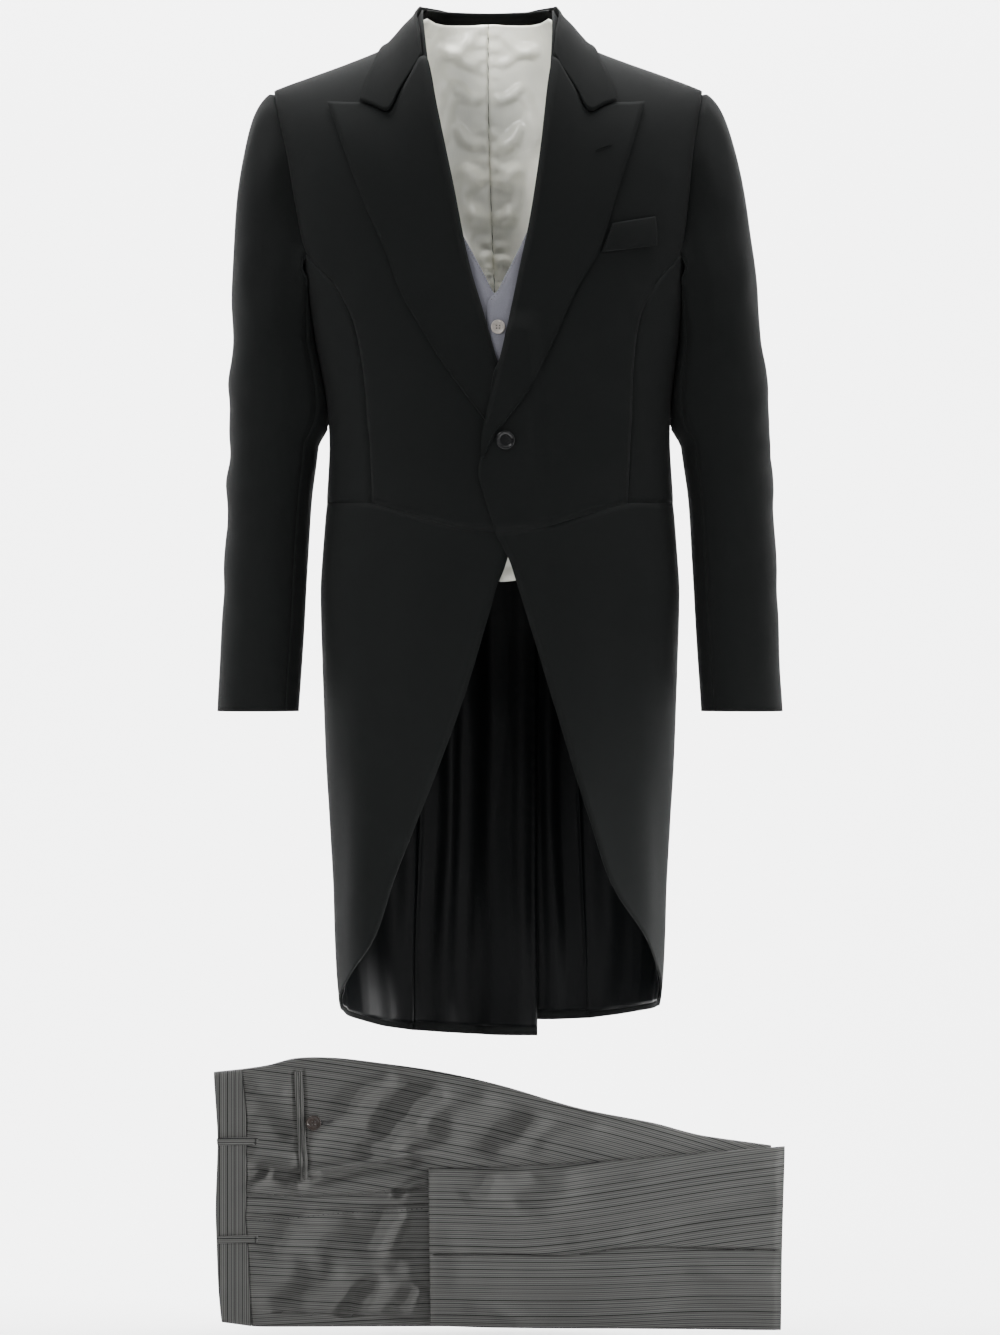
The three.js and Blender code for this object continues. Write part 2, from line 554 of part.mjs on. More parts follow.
const neckSeam = line(turned(BACK_NECK).map(([x, z]) => triple(form(angleAt(placeOf(x, z, true)), z))));
const standTop = line(CREASE_BACK);
const standHalf = (side, away) => grid(8, 3, (u, v) => {
  const low = new THREE.Vector3(...neckSeam(v)).add(new THREE.Vector3(0, 0.6, 9 * SEAM));
  const high = new THREE.Vector3(...standTop(v));
  const inwards = new THREE.Vector3(high.x, high.y, 0).normalize();
  high.addScaledVector(inwards, -COAT_WALL - 2 * SEAM).add(new THREE.Vector3(0, 0, -1.2));
  return place(low.lerp(high, u).addScaledVector(inwards, -away), side);
});
const wholeStand = (away) => [...standHalf(-1, away), ...turned(standHalf(1, away)).slice(1)];
add("collar_stand", between(wholeStand(0), wholeStand(COAT_WALL)), COLLAR);

// The breast pocket's welt, on the wearer's left front.
const welt = patch(frontEdge([[112, -213], [124.5, -182]]), frontEdge([[170, -203.5], [169.5, -173]]),
  frontEdge([[112, -213], [170, -203.5]]), frontEdge([[124.5, -182], [169.5, -173]]));
sheet("breast_welt", COAT, 1, places(3, 8, welt), 1.8, () => 2.4);

// A button: a turned disc with a rim round a dished face, laid on its cloth.
function button(name, material, centre, normal, diameter, height) {
  const r = diameter / 2;
  const profile = [
    [0, 0], [r * 0.86, 0], [r, height * 0.45], [r, height * 0.75], [r * 0.93, height],
    [r * 0.78, height * 0.96], [r * 0.66, height * 0.72], [0, height * 0.62],
  ].map(([x, y]) => new THREE.Vector2(x, y));
  const disc = new THREE.LatheGeometry(profile, 16);
  const turn = new THREE.Quaternion().setFromUnitVectors(new THREE.Vector3(0, 1, 0), normal);
  disc.applyQuaternion(turn).translate(centre.x, centre.y, centre.z);
  add(name, disc, material);
}
function buttonOnBody(name, material, x, z, out, diameter, height) {
  const angle = angleAt(placeOf(x, z));
  button(name, material, place(onBody(angle, z, out), 1), formNormal(angle, z), diameter, height);
}
buttonOnBody("coat_button", BLACK_BUTTON, 6, -408, 6.6, BUTTON_D, 3.6);
buttonOnBody("waistcoat_button", GREY_BUTTON, 1.6, -290.4, -WAISTCOAT_IN + 3.2, WAISTCOAT_BUTTON_D,
  2.6);

// The trousers, folded flat on their side under the tails with the waistband to the left.
// Columns: distance x, height z.
const TROUSER_TOP = [
  [-260.8, -1069.5], [-234.3, -1065.5], [-203.5, -1058], [-163.3, -1057.6], [-123, -1062],
  [-54.1, -1071.8], [12.7, -1086.6], [96.4, -1111], [177, -1127], [212, -1136.5], [231, -1140.6],
  [300, -1150.3],
];
const TROUSER_LOW = [
  [-250.2, -1342], [-236.4, -1342.5], [-61.5, -1342], [12.7, -1342], [300, -1338],
];
const BAND_EDGE = [
  [-290.5, -1072.6], [-288.3, -1105.6], [-286.2, -1143.7], [-288.3, -1214.8], [-287.3, -1251.9],
  [-285.2, -1302.7], [-282, -1337.7],
];
const BAND_SEAM = [
  [-260.8, -1069.5], [-256.5, -1105.6], [-255.5, -1201], [-256.5, -1227.5], [-254.4, -1254],
  [-250.2, -1342],
];
const HEM_EDGE = [[-63, -1173.5], [-62.6, -1221], [-61, -1339.8]];
const LEG_TOP = [
  [-63, -1173.5], [14.8, -1172.3], [96.4, -1168], [177, -1161.7], [225.8, -1157.5],
  [313.7, -1150],
];
const KNEE = [[313.7, -1150], [310.6, -1255], [309.5, -1344]];
const LEG_LOW = [[-61, -1339.8], [12.7, -1342], [150, -1343], [309.5, -1344]];

// Depth of the folded trousers' face: full in the middle, rounded off along top and bottom.
function trouserDepth(x, z, full) {
  const edge = Math.min(look(TROUSER_TOP, x) - z, z - look(TROUSER_LOW, x));
  const t = Math.min(1, Math.max(0, edge / 26));
  return lerp(3, full, Math.sqrt(1 - (1 - t) * (1 - t)));
}
function slab(name, material, area, rows, cols, frontDepth, backDepth) {
  const face = (depth) => grid(rows, cols, (u, v) => {
    const [x, z] = area(u, ease(v) * 0.35 + v * 0.65);
    return new THREE.Vector3(x, depth(x, z, u, v), z);
  });
  add(name, between(face(frontDepth), face(backDepth)), material);
}
const upperLeg = patch([...turned(BAND_SEAM)], [[300, -1338], [300, -1150.3]],
  TROUSER_LOW, TROUSER_TOP);
slab("trouser_upper_leg", TROUSER, inset(upperLeg, 0.001, 0, 0, 0), 10, 16,
  (x, z) => -trouserDepth(x, z, TROUSER_FACE - 2), (x, z) => trouserDepth(x, z, TROUSER_FACE - 2));

const bandDepth = (x, z, u) => trouserDepth(-250, Math.min(z, -1066), TROUSER_FACE - 1)
  * (u < 0.01 ? 0.8 : 1);
const band = patch(turned(BAND_EDGE), turned(BAND_SEAM), [BAND_EDGE.at(-1), BAND_SEAM.at(-1)],
  [BAND_EDGE[0], BAND_SEAM[0]]);
slab("waistband", TROUSER_BAND, inset(band, 0, 0.012, 0, 0), 10, 3,
  (x, z, u) => -bandDepth(x, z, u), bandDepth);

const legFace = (u, v) => {
  const rim = Math.min(v, 1 - v) / 0.12;
  const round = Math.sqrt(1 - Math.pow(1 - Math.min(1, rim), 2));
  const knee = 4 * ease((u - 0.7) / 0.3) * (u > 0.99 ? 0.55 : 1);
  return TROUSER_FACE - 1.2 + lerp(3, 8, round) + knee;
};
const lowerLeg = patch(turned(HEM_EDGE), turned(KNEE), LEG_LOW, LEG_TOP);
slab("trouser_lower_leg", TROUSER, lowerLeg, 8, 12, (x, z, u, v) => -legFace(u, v),
  () => -(TROUSER_FACE - 2 + SEAM));

const block = (name, material, x, z, wide, high, y, deep, turn = 0) => {
  const box = new THREE.BoxGeometry(wide, deep, high, 4, 1, 1);
  box.rotateY(turn).translate(x, y - deep / 2, z);
  add(name, box, material);
};
block("belt_loop_upper", TROUSER_BAND, -265, -1145, 44, 8, -TROUSER_FACE + 0.7, 2.4);
block("belt_loop_lower", TROUSER_BAND, -265, -1248.6, 44, 8, -TROUSER_FACE + 0.7, 2.4);
const jetLine = (dx) => [
  [-205.3 + dx, -1071], [-203 + dx, -1110], [-200.5 + dx, -1150], [-198 + dx, -1187],
];
for (const [name, dx] of [["pocket_jet_left", 0], ["pocket_jet_right", 4.6]]) {
  const jet = patch(turned(jetLine(dx)), turned(jetLine(dx + 4)),
    [jetLine(dx)[3], jetLine(dx + 4)[3]], [jetLine(dx)[0], jetLine(dx + 4)[0]]);
  const jetFace = (x, z, full) => -trouserDepth(x, z, TROUSER_FACE - 2) - full;
  slab(name, TROUSER, jet, 8, 1, (x, z) => jetFace(x, z, 2), (x, z) => jetFace(x, z, 0.8));
}
button("pocket_button", BROWN_BUTTON, new THREE.Vector3(-184.5, -TROUSER_FACE + 1.2, -1125.4),
  new THREE.Vector3(0, -1, 0), 16, 3);

export default suit;
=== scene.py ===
"""A single-breasted morning suit: cutaway tailcoat, waistcoat and folded striped trousers."""
import math
import bmesh
import bpy
import numpy as np
from bpy.props import FloatProperty, FloatVectorProperty, IntProperty, PointerProperty
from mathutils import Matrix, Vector


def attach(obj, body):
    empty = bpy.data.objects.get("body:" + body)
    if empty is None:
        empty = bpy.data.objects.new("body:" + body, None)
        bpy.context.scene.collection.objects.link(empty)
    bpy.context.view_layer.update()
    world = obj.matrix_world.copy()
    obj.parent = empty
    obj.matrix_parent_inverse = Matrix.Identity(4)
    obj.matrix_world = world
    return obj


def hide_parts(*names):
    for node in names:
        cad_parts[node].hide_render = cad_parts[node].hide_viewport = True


bl_info = {
    "name": "Morning suit",
    "version": (1, 0, 0),
    "blender": (4, 5, 0),
    "location": "3D View > Sidebar > Suit",
    "description": "Builds a tailcoat, waistcoat and folded trousers",
    "category": "Add Mesh",
}

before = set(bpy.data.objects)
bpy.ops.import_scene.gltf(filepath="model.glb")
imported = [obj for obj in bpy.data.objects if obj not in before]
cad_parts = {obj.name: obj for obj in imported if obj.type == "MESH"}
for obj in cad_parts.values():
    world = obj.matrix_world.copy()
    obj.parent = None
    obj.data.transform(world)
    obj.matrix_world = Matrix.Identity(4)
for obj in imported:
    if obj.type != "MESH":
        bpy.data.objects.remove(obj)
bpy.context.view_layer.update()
MM = 0.001

# Sizes of the body under the cloth, in millimetres, as in the solids.
LEAN = 12.7
LEAN_HEIGHT = 450
ARCH_START = -200
CORNER = 0.75
SIDE = 200.0
RING_FLATNESS = 0.62
HALF_WIDTH = [
    (-1045, 166), (-1007, 168.5), (-955, 173), (-874, 177), (-792, 182), (-670, 187.5),
    (-568, 190), (-527, 188), (-446, 182), (-405, 180.5), (-364, 183), (-300, 193),
    (-229, 204), (-150, 214), (-80, 226), (0, 240), (60, 246),
]
FRONT_DEPTH = [
    (-1045, 112), (-900, 116), (-700, 120), (-528, 121), (-420, 116), (-330, 120),
    (-200, 118), (-100, 116), (60, 112),
]
BACK_DEPTH = [
    (-1045, 122), (-900, 120), (-700, 118), (-600, 114), (-430, 90), (-330, 96),
    (-150, 104), (0, 100), (60, 96),
]
SHOULDER = [
    (0, 104), (30, 102), (50, 88), (62, 68), (72, 48), (85, 31), (100, 16), (120, 6.6),
    (150, -4.9), (183, -16.7), (228, -33.4), (250, -45),
]


def look(table, at):
    """Smooth value of a two-column table."""
    rows = np.asarray(sorted(table), float)
    x, y = rows[:, 0], rows[:, 1]
    n = len(x)
    before, after = np.maximum(np.arange(n) - 1, 0), np.minimum(np.arange(n) + 1, n - 1)
    slope = (y[after] - y[before]) / (x[after] - x[before])
    at = np.clip(np.asarray(at, float), x[0], x[-1])
    i = np.clip(np.searchsorted(x, at, side="right") - 1, 0, n - 2)
    h = x[i + 1] - x[i]
    t = (at - x[i]) / h
    t2, t3 = t * t, t * t * t
    return ((2 * t3 - 3 * t2 + 1) * y[i] + (t3 - 2 * t2 + t) * h * slope[i]
            + (3 * t2 - 2 * t3) * y[i + 1] + (t3 - t2) * h * slope[i + 1])


def ease(t):
    t = np.clip(t, 0, 1)
    return t * t * (3 - 2 * t)


def power(v, e):
    return np.sign(v) * np.abs(v) ** e


def lean_at(z):
    return LEAN * ease(-np.asarray(z) / LEAN_HEIGHT)


def form(angle, z):
    """The body's face at an angle from the middle of the front, without its lean."""
    a = np.radians(angle)
    z = np.asarray(z, float)
    x = look(HALF_WIDTH, z) * power(np.sin(a), CORNER)
    depth = np.where(np.cos(a) > 0, look(FRONT_DEPTH, z), look(BACK_DEPTH, z))
    top = look(SHOULDER, np.abs(x))
    t = np.clip((z - ARCH_START) / (top - ARCH_START), 0, 1)
    arch = np.sqrt(np.maximum(0, 1 - t * t * t))
    return np.stack([x, -depth * power(np.cos(a), CORNER) * arch, np.minimum(z, top)], -1)


def form_normal(angle, z):
    x = np.abs(form(angle, z)[..., 0])
    low = np.minimum(z, look(SHOULDER, x) - 0.02)
    across = form(angle + 0.4, low) - form(angle - 0.4, low)
    up = form(angle, low) - form(angle, low - 0.6)
    n = np.cross(across, up)
    return n / np.maximum(np.linalg.norm(n, axis=-1, keepdims=True), 1e-9)


RING_ANGLES = np.arange(91.0)
RING_LENGTHS = np.concatenate([[0], np.cumsum(np.hypot(
    np.diff(power(np.sin(np.radians(RING_ANGLES)), CORNER)),
    RING_FLATNESS * np.diff(power(np.cos(np.radians(RING_ANGLES)), CORNER))))])
RING_PLACES = SIDE * RING_LENGTHS / RING_LENGTHS[-1]


def angle_at(place):
    """Angle of a place round the body: 0 the middle of the front, 200 the side, 400 behind."""
    place = np.asarray(place, float)
    front = np.sign(place) * np.interp(np.abs(place), RING_PLACES, RING_ANGLES)
    rest = 2 * SIDE - place
    back = 180 - np.sign(rest) * np.interp(np.abs(rest), RING_PLACES, RING_ANGLES)
    return np.where(place <= SIDE, front, back)


def place_of(x, z, back=False):
    share = np.minimum(1, np.abs(x) / look(HALF_WIDTH, z))
    a = np.degrees(np.arcsin(share ** (1 / CORNER)))
    at = np.sign(x) * np.interp(a, RING_ANGLES, RING_PLACES)
    return 2 * SIDE - at if back else at


def front_edge(points):
    return [(float(place_of(x, z)), z) for x, z in points]


def back_edge(points):
    return [(float(place_of(x, z, True)), z) for x, z in points]


def line(points):
    """A smooth line through points, by share of its length."""
    p = np.asarray(points, float)
    step = np.maximum(np.linalg.norm(np.diff(p, axis=0), axis=1), 1e-6)
    d = np.concatenate([[0], np.cumsum(step)])
    d /= d[-1]
    return lambda s: np.stack([look(list(zip(d, p[:, k])), s) for k in range(p.shape[1])], -1)


def patch(left, right, bottom, top):
    """A patch between four lines that meet at its corners."""
    lines = [line(e) for e in (left, right, bottom, top)]
    c00, c10, c01, c11 = (lines[0](0.0), lines[1](0.0), lines[0](1.0), lines[1](1.0))

    def area(u, v):
        w, t = np.asarray(u)[..., None], np.asarray(v)[..., None]
        return ((1 - w) * lines[0](v) + w * lines[1](v) + (1 - t) * lines[2](u) + t * lines[3](u)
                - (1 - w) * (1 - t) * c00 - w * (1 - t) * c10 - (1 - w) * t * c01 - w * t * c11)
    return area


def ridge(at):
    share = np.abs(power(np.sin(np.radians(angle_at(at))), CORNER))
    z = np.zeros_like(share)
    for _ in range(60):
        z = 0.5 * z + 0.5 * look(SHOULDER, look(HALF_WIDTH, z) * share)
    return z - 0.0003


def shoulder_line(start, end, back):
    xs = np.linspace(start, end, 9)
    return [(float(place_of(x, look(SHOULDER, x), back)), float(look(SHOULDER, x))) for x in xs]


def to_ridge(area, share=1.0):
    """An area whose top row lies on the shoulder line."""
    def shaped(u, v):
        p = area(u, v)
        top = ridge(p[..., 0])
        on_top = (v > 0.9999) & (u >= 1 - share)
        return np.stack([p[..., 0], np.where(on_top, top, np.minimum(p[..., 1], top))], -1)
    return shaped


def inset(area, left, right, bottom, top):
    return lambda u, v: area(left + (1 - right - left) * u, bottom + (1 - top - bottom) * v)


def folds(x, z, table):
    """Soft troughs and ridges. Columns: start x, z, end x, z, width, height."""
    total = np.zeros(np.broadcast(x, z).shape)
    for x0, z0, x1, z1, width, height in table:
        dx, dz = x1 - x0, z1 - z0
        length = math.hypot(dx, dz)
        along = ((x - x0) * dx + (z - z0) * dz) / length ** 2
        wander = 0.22 * width * np.sin(along * 7.0 + x0)
        off = ((x - x0) * dz - (z - z0) * dx) / length + wander
        fade = ease((along + 0.18) / 0.36) * ease((1.18 - along) / 0.36)
        total = total + height * fade * np.exp(-(off / width) ** 2)
    return total


def unevenness(x, z, size, height, seed=0.0):
    """Slow swells that keep a cloth from looking pressed flat."""
    s = size
    return height * (np.sin(x / s + 1.7 * np.sin(z / (1.6 * s) + seed) + seed)
                     * np.sin(z / (1.3 * s) + 1.3 * np.sin(x / (1.9 * s) - seed)))


def across_of(at, z):
    return np.where(at > SIDE, 2 * SIDE, form(angle_at(np.minimum(at, SIDE)), z)[..., 0])


def lap(x, z):
    """How far the front on top stands out over the one below it."""
    height = (3 + 3 * ease((z + 470) / 35)) * ease((-268 - z) / 30)
    return height * ease((50 - x) / 18) * ease((z + 600) / 45)


# Outlines in millimetres: distance from the middle, height; the same lines as in the solids.
ARMHOLE_FRONT = [(196.5, -210), (202, -192), (209, -146), (214, -105), (222, -64), (227, -34)]
ARMHOLE_BACK = [(203, -155), (210, -110), (220, -66), (227, -34)]
SIDE_SEAM = [(133.5, -473), (138, -388), (142, -328), (148, -288), (157, -264), (172, -239),
             (196.5, -210)]
BACK_SEAM = [(72, -465), (70, -430), (78, -360), (98, -290), (140, -220), (176, -180),
             (203, -155)]
BACK_SEAM_LOW = [(90, -850), (80, -650), (72, -465)]
TAIL = {-1: [(-41, -1042), (26, -1041), (95, -1036)], 1: [(0, -1024), (50, -1025), (96, -1023)]}
VENT = {-1: [(-41, -1042), (-41, -850), (-41, -600), (-40, -530), (-34, -482), (-20, -463),
             (-1, -449), (0, -436), (0, -420)],
        1: [(0, -1024), (0, -850), (0, -600), (0, -530), (0, -480), (0, -420)]}
WAIST_FRONT = [(133.5, -473), (88, -486), (48, -498), (20, -502)]
BACK_NECK = [(0.2, 12), (30, 14), (52, 25), (66, 40), (71, 48)]
ROLL = {-1: [(0, -326), (11.8, -279), (25.7, -223), (38.3, -143), (52, -65), (60.7, -12),
             (66.8, 40)],
        1: [(-17.5, -399), (0.8, -326), (11.8, -287), (25.8, -231), (40.5, -171), (53, -102),
            (62, -30), (66, 20)]}
EDGE = {-1: [(-16, -503), (-17, -450), (-16, -400), (-10, -360)],
        1: [(-5, -503), (-11, -485), (-17.6, -463), (-22.8, -443), (-20, -425)]}
LAPEL = {-1: [(6, -392), (14.9, -386), (49.9, -338.5), (74.5, -298), (98.7, -252),
              (109.7, -217), (135.6, -150), (157.8, -82), (167.6, -51.6)],
         1: [(-18.5, -426), (-4.3, -398.5), (8.7, -384), (29.4, -358), (45.8, -330),
             (63.4, -294.6), (85.2, -250), (109.2, -210.6), (140.4, -121), (159.9, -63),
             (162.5, -51.6)]}
LAPEL_ROLL = {-1: [(2, -394), (-3, -360)] + ROLL[-1][:6], 1: [(-20, -427)] + ROLL[1][:7]}
GORGE = [(66, -5), (77, -23), (91, -45), (104, -66)]
PEAK = [(104, -66), (120, -59), (133, -54), (148, -53)]
CUT = {-1: [(169, -1006), (139.8, -941), (109.6, -861), (73.4, -772), (37.5, -675),
            (0.3, -552), (-8, -530), (-16, -503)],
       1: [(169, -1002), (125.6, -885), (92.5, -799), (59.7, -694), (40.2, -630),
           (15.9, -552), (8.6, -530), (5, -524), (-5, -503)]}
VEST_EDGE = {1: [(-9, -510), (-9, -268), (1.6, -254), (29, -205), (75, -112), (91, -25)],
             -1: [(-9, -510), (-9, -274), (0, -256), (19.5, -217), (70, -119), (90, -25)]}
VEST_ARM = [(196, -255), (187, -225), (182, -170), (172, -80)]
CREASE_BACK = [(68, 2, 54), (62, 30, 57), (45, 58, 58), (22, 71, 58.5), (0, 75, 58.5)]
FALL_BACK = [(107, 0, 17), (99, 32, 9), (76, 62, 6), (40, 86, 7), (0, 94, 8)]
FALL_FRONT = [(133, -53), (127, -32), (117, -8)]
SLEEVE_IN = [(-300, 195.5), (-364, 185), (-393, 189.8), (-425, 193.6), (-466, 199),
             (-532, 203), (-609, 207), (-690, 212)]
SLEEVE_OUT = [(-300, 281), (-385, 286.7), (-466, 288.6), (-548, 293), (-654, 296.5),
              (-690, 298)]
SLEEVE_DEPTH = [(-300, 59), (-450, 54), (-560, 51), (-690, 47)]
SLEEVE_SWING = [(-300, 0), (-450, -4), (-560, -14), (-690, -30)]

# Creases of the coat's fronts and tails: start x, z, end x, z, width, height, in millimetres.
FRONT_FOLDS = [
    (70, -330, 128, -392, 16, 1.2), (40, -420, 120, -436, 12, -0.8), (150, -250, 118, -330, 14, 1.0),
    (172, -180, 150, -246, 13, -1.2), (30, -470, 110, -458, 11, 0.7), (188, -120, 168, -200, 14, 1.0),
    (100, -440, 132, -400, 10, -0.7),
]
SKIRT_FOLDS = [
    (150, -500, 168, -760, 22, 1.8), (118, -500, 128, -700, 18, -1.4), (70, -520, 96, -660, 20, 1.1),
    (172, -600, 176, -930, 20, -1.6), (40, -530, 62, -600, 12, -0.8), (140, -760, 156, -930, 16, 1.2),
]
SLEEVE_FOLDS = [
    (-40, -330, 60, -372, 15, -1.8), (-70, -400, 40, -430, 13, 1.5), (-30, -445, 80, -470, 14, -1.7),
    (10, -500, 95, -520, 12, 1.2), (-60, -250, 10, -310, 20, 1.4), (40, -210, 88, -300, 16, -1.5),
    (-20, -560, 60, -590, 16, 0.9), (60, -160, 90, -220, 14, 1.3), (-90, -470, -30, -500, 14, 1.1),
]
BACK_FOLDS = [
    (60, -60, 150, -120, 26, 1.2), (20, -380, 70, -420, 15, -1.1), (30, -470, 60, -700, 20, 1.5),
    (12, -560, 22, -980, 16, -1.3), (70, -640, 84, -980, 18, 1.4), (150, -140, 120, -260, 20, -1.0),
]
LINING_FOLDS = [
    (52, -640, 60, -1000, 9, 2.6), (38, -700, 44, -1010, 8, -2.2), (70, -690, 82, -960, 10, -1.8),
    (20, -600, 26, -980, 11, 1.6), (95, -760, 112, -1000, 12, 2.2), (-20, -760, -26, -1010, 9, 2.0),
    (8, -720, 10, -1000, 8, -1.4),
]
SATIN_FOLDS = [
    (14, 34, 60, 16, 8, 4.0), (10, 6, 54, 24, 7, 3.4), (12, -18, 46, 6, 8, -3.4),
    (8, -34, 40, -16, 7, 3.6), (8, -60, 40, -40, 9, -3.4), (14, -84, 36, -60, 8, 3.2),
    (8, -96, 30, -92, 7, -3.0), (10, -122, 30, -104, 8, 3.4), (6, -140, 26, -136, 6, -3.0),
    (6, -166, 22, -152, 7, 3.2), (4, -190, 18, -180, 6, -2.6), (4, -214, 14, -204, 6, 2.8),
    (30, 40, 64, 40, 6, -2.6), (40, -20, 52, -80, 12, 2.6), (30, -110, 20, -170, 10, 2.4),
]


class SuitSizes(bpy.types.PropertyGroup):
    """Sizes of the suit that a user may change."""
    coat_wall: FloatProperty(name="Coat cloth", description="Thickness of the coat's cloth",
                             default=0.0018, min=0.001, max=0.003, unit="LENGTH")
    vest_wall: FloatProperty(name="Waistcoat cloth", description="Thickness of the waistcoat",
                             default=0.0014, min=0.001, max=0.003, unit="LENGTH")
    coat_button: FloatProperty(name="Coat button", description="Diameter of the coat's button",
                               default=0.0198, unit="LENGTH")
    vest_button: FloatProperty(name="Waistcoat button", description="Diameter of the small button",
                               default=0.0148, unit="LENGTH")
    stripe_gap: FloatProperty(name="Stripe spacing", description="Between two dark stripes",
                              default=0.0081, unit="LENGTH")
    weave_pitch: FloatProperty(name="Twill spacing", description="Between two ribs of the cloth",
                               default=0.0012, unit="LENGTH")
    detail: IntProperty(name="Mesh detail", description="Rows of a sheet for 100 mm of cloth",
                        default=16, min=4, max=24)


class SuitColours(bpy.types.PropertyGroup):
    """Colours of the suit that a user may change."""
    coat: FloatVectorProperty(name="Coat", description="Colour of the coat's wool",
                              subtype="COLOR", size=3, default=(0.0019, 0.00225, 0.00215))
    collar: FloatVectorProperty(name="Collar", description="Colour of the collar's cloth",
                                subtype="COLOR", size=3, default=(0.0015, 0.0018, 0.0017))
    lining: FloatVectorProperty(name="Tail lining", description="Colour of the tails' satin",
                                subtype="COLOR", size=3, default=(0.0005, 0.0007, 0.00085))
    vest: FloatVectorProperty(name="Waistcoat", description="Colour of the waistcoat's fronts",
                              subtype="COLOR", size=3, default=(0.084, 0.084, 0.098))
    satin: FloatVectorProperty(name="Satin", description="Colour of the waistcoat's back",
                               subtype="COLOR", size=3, default=(0.93, 0.93, 0.81))
    trouser: FloatVectorProperty(name="Trouser ground", description="Mid grey of the trousers",
                                 subtype="COLOR", size=3, default=(0.0285, 0.0285, 0.027))


def detail():
    return bpy.context.scene.suit_sizes.detail


def link(name, mesh):
    piece = bpy.data.objects.new(name, mesh)
    bpy.context.scene.collection.objects.link(piece)
    return piece


def cloth(name, cols, rows, shape, wall, material, facing, held="hung", rests_on=(),
          stations=None):
    """A sheet of cloth: a grid whose points are laid on a shape, given its wall and finish."""
    bm = bmesh.new()
    bm.loops.layers.uv.new("UVMap")
    bmesh.ops.create_grid(bm, x_segments=cols, y_segments=rows, size=0.5, calc_uvs=True)
    bm.verts.ensure_lookup_table()
    flat = np.array([v.co[:2] for v in bm.verts]) + 0.5
    u, v = np.clip(flat[:, 0], 0, 1), np.clip(flat[:, 1], 0, 1)
    places = shape(u, stations(v) if stations else v) * MM
    for vert, co in zip(bm.verts, places):
        vert.co = co
    bm.normal_update()
    outward = Vector((0, 0, 0))
    for face in bm.faces:
        outward += face.normal * face.calc_area()
    if facing(outward) < 0:
        bmesh.ops.reverse_faces(bm, faces=bm.faces[:])
    area = sum(face.calc_area() for face in bm.faces)
    corner = {}
    for k, (a, b) in enumerate(zip(u, v)):
        corner[(round(a * cols), round(b * rows))] = k
    run = lambda keys: sum((bm.verts[corner[a]].co - bm.verts[corner[b]].co).length
                           for a, b in zip(keys, keys[1:]))
    width = max(run([(i, j) for i in range(cols + 1)]) for j in (0, rows // 2, rows))
    length = max(run([(i, j) for j in range(rows + 1)]) for i in (0, cols // 2, cols))
    uv = bm.loops.layers.uv.active
    for face in bm.faces:
        for loop in face.loops:
            loop[uv].uv = (loop[uv].uv[0] * width, loop[uv].uv[1] * length)
        face.smooth = True
    mesh = bpy.data.meshes.new(name)
    bm.to_mesh(mesh)
    bm.free()
    mesh.materials.append(material)
    piece = link(name, mesh)
    thick = piece.modifiers.new("Wall", "SOLIDIFY")
    thick.thickness = wall
    thick.offset = -1
    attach(piece, "root")
    return piece


def outward_front(n):
    """Above 0 where a sheet's outside looks to the front."""
    return -n.y


def outward_back(n):
    """Above 0 where a sheet's outside looks to the back."""
    return n.y


def on_body(area, side, out, keep=True):
    """Lays a patch of places on the body; out gives how far it stands off, in millimetres."""
    def shape(u, v):
        p = area(u, v)
        at, z = p[..., 0], p[..., 1]
        angle = angle_at(at)
        q = form(angle, z) + form_normal(angle, z) * out(at, z, u, v)[..., None]
        x, y, h = q[..., 0], q[..., 1], q[..., 2]
        if keep:
            y = np.where(at > SIDE, np.maximum(y, 0.15), np.where(at < SIDE, np.minimum(y, -0.15), y))
        return np.stack([side * x + lean_at(h), y, h], -1)
    return shape


def seam_dip(u, v, width=0.02, depth=0.5, edges="lrbt"):
    """A sheet turns in a little along the edges where it is sewn."""
    dip = np.zeros_like(u)
    for edge, t in (("l", u), ("r", 1 - u), ("b", v), ("t", 1 - v)):
        if edge in edges:
            dip = dip + np.exp(-(t / width) ** 2)
    return -depth * np.minimum(dip, 1)


# Effects that several materials share.
def group(name, inputs, outputs):
    """An empty effect with named inputs and outputs: its tree and both ends."""
    tree = bpy.data.node_groups.new(name, "ShaderNodeTree")
    for label, kind, default in inputs:
        socket = tree.interface.new_socket(label, in_out="INPUT", socket_type=kind)
        if default is not None:
            socket.default_value = default
    for label, kind in outputs:
        tree.interface.new_socket(label, in_out="OUTPUT", socket_type=kind)
    return tree, tree.nodes.new("NodeGroupInput"), tree.nodes.new("NodeGroupOutput")


def math_node(tree, operation, a, b=None):
    node = tree.nodes.new("ShaderNodeMath")
    node.operation = operation
    for socket, value in zip(node.inputs, (a, b)):
        if value is None:
            continue
        if isinstance(value, (int, float)):
            socket.default_value = value
        else:
            tree.links.new(value, socket)
    return node.outputs[0]


def mix_colour(tree, factor, a, b, blend="MIX"):
    node = tree.nodes.new("ShaderNodeMix")
    node.data_type = "RGBA"
    node.blend_type = blend
    for socket, value in ((node.inputs["Factor"], factor), (node.inputs[6], a), (node.inputs[7], b)):
        if isinstance(value, (int, float)):
            socket.default_value = value
        elif isinstance(value, (tuple, list)):
            socket.default_value = (*value[:3], 1)
        else:
            tree.links.new(value, socket)
    return node.outputs[2]


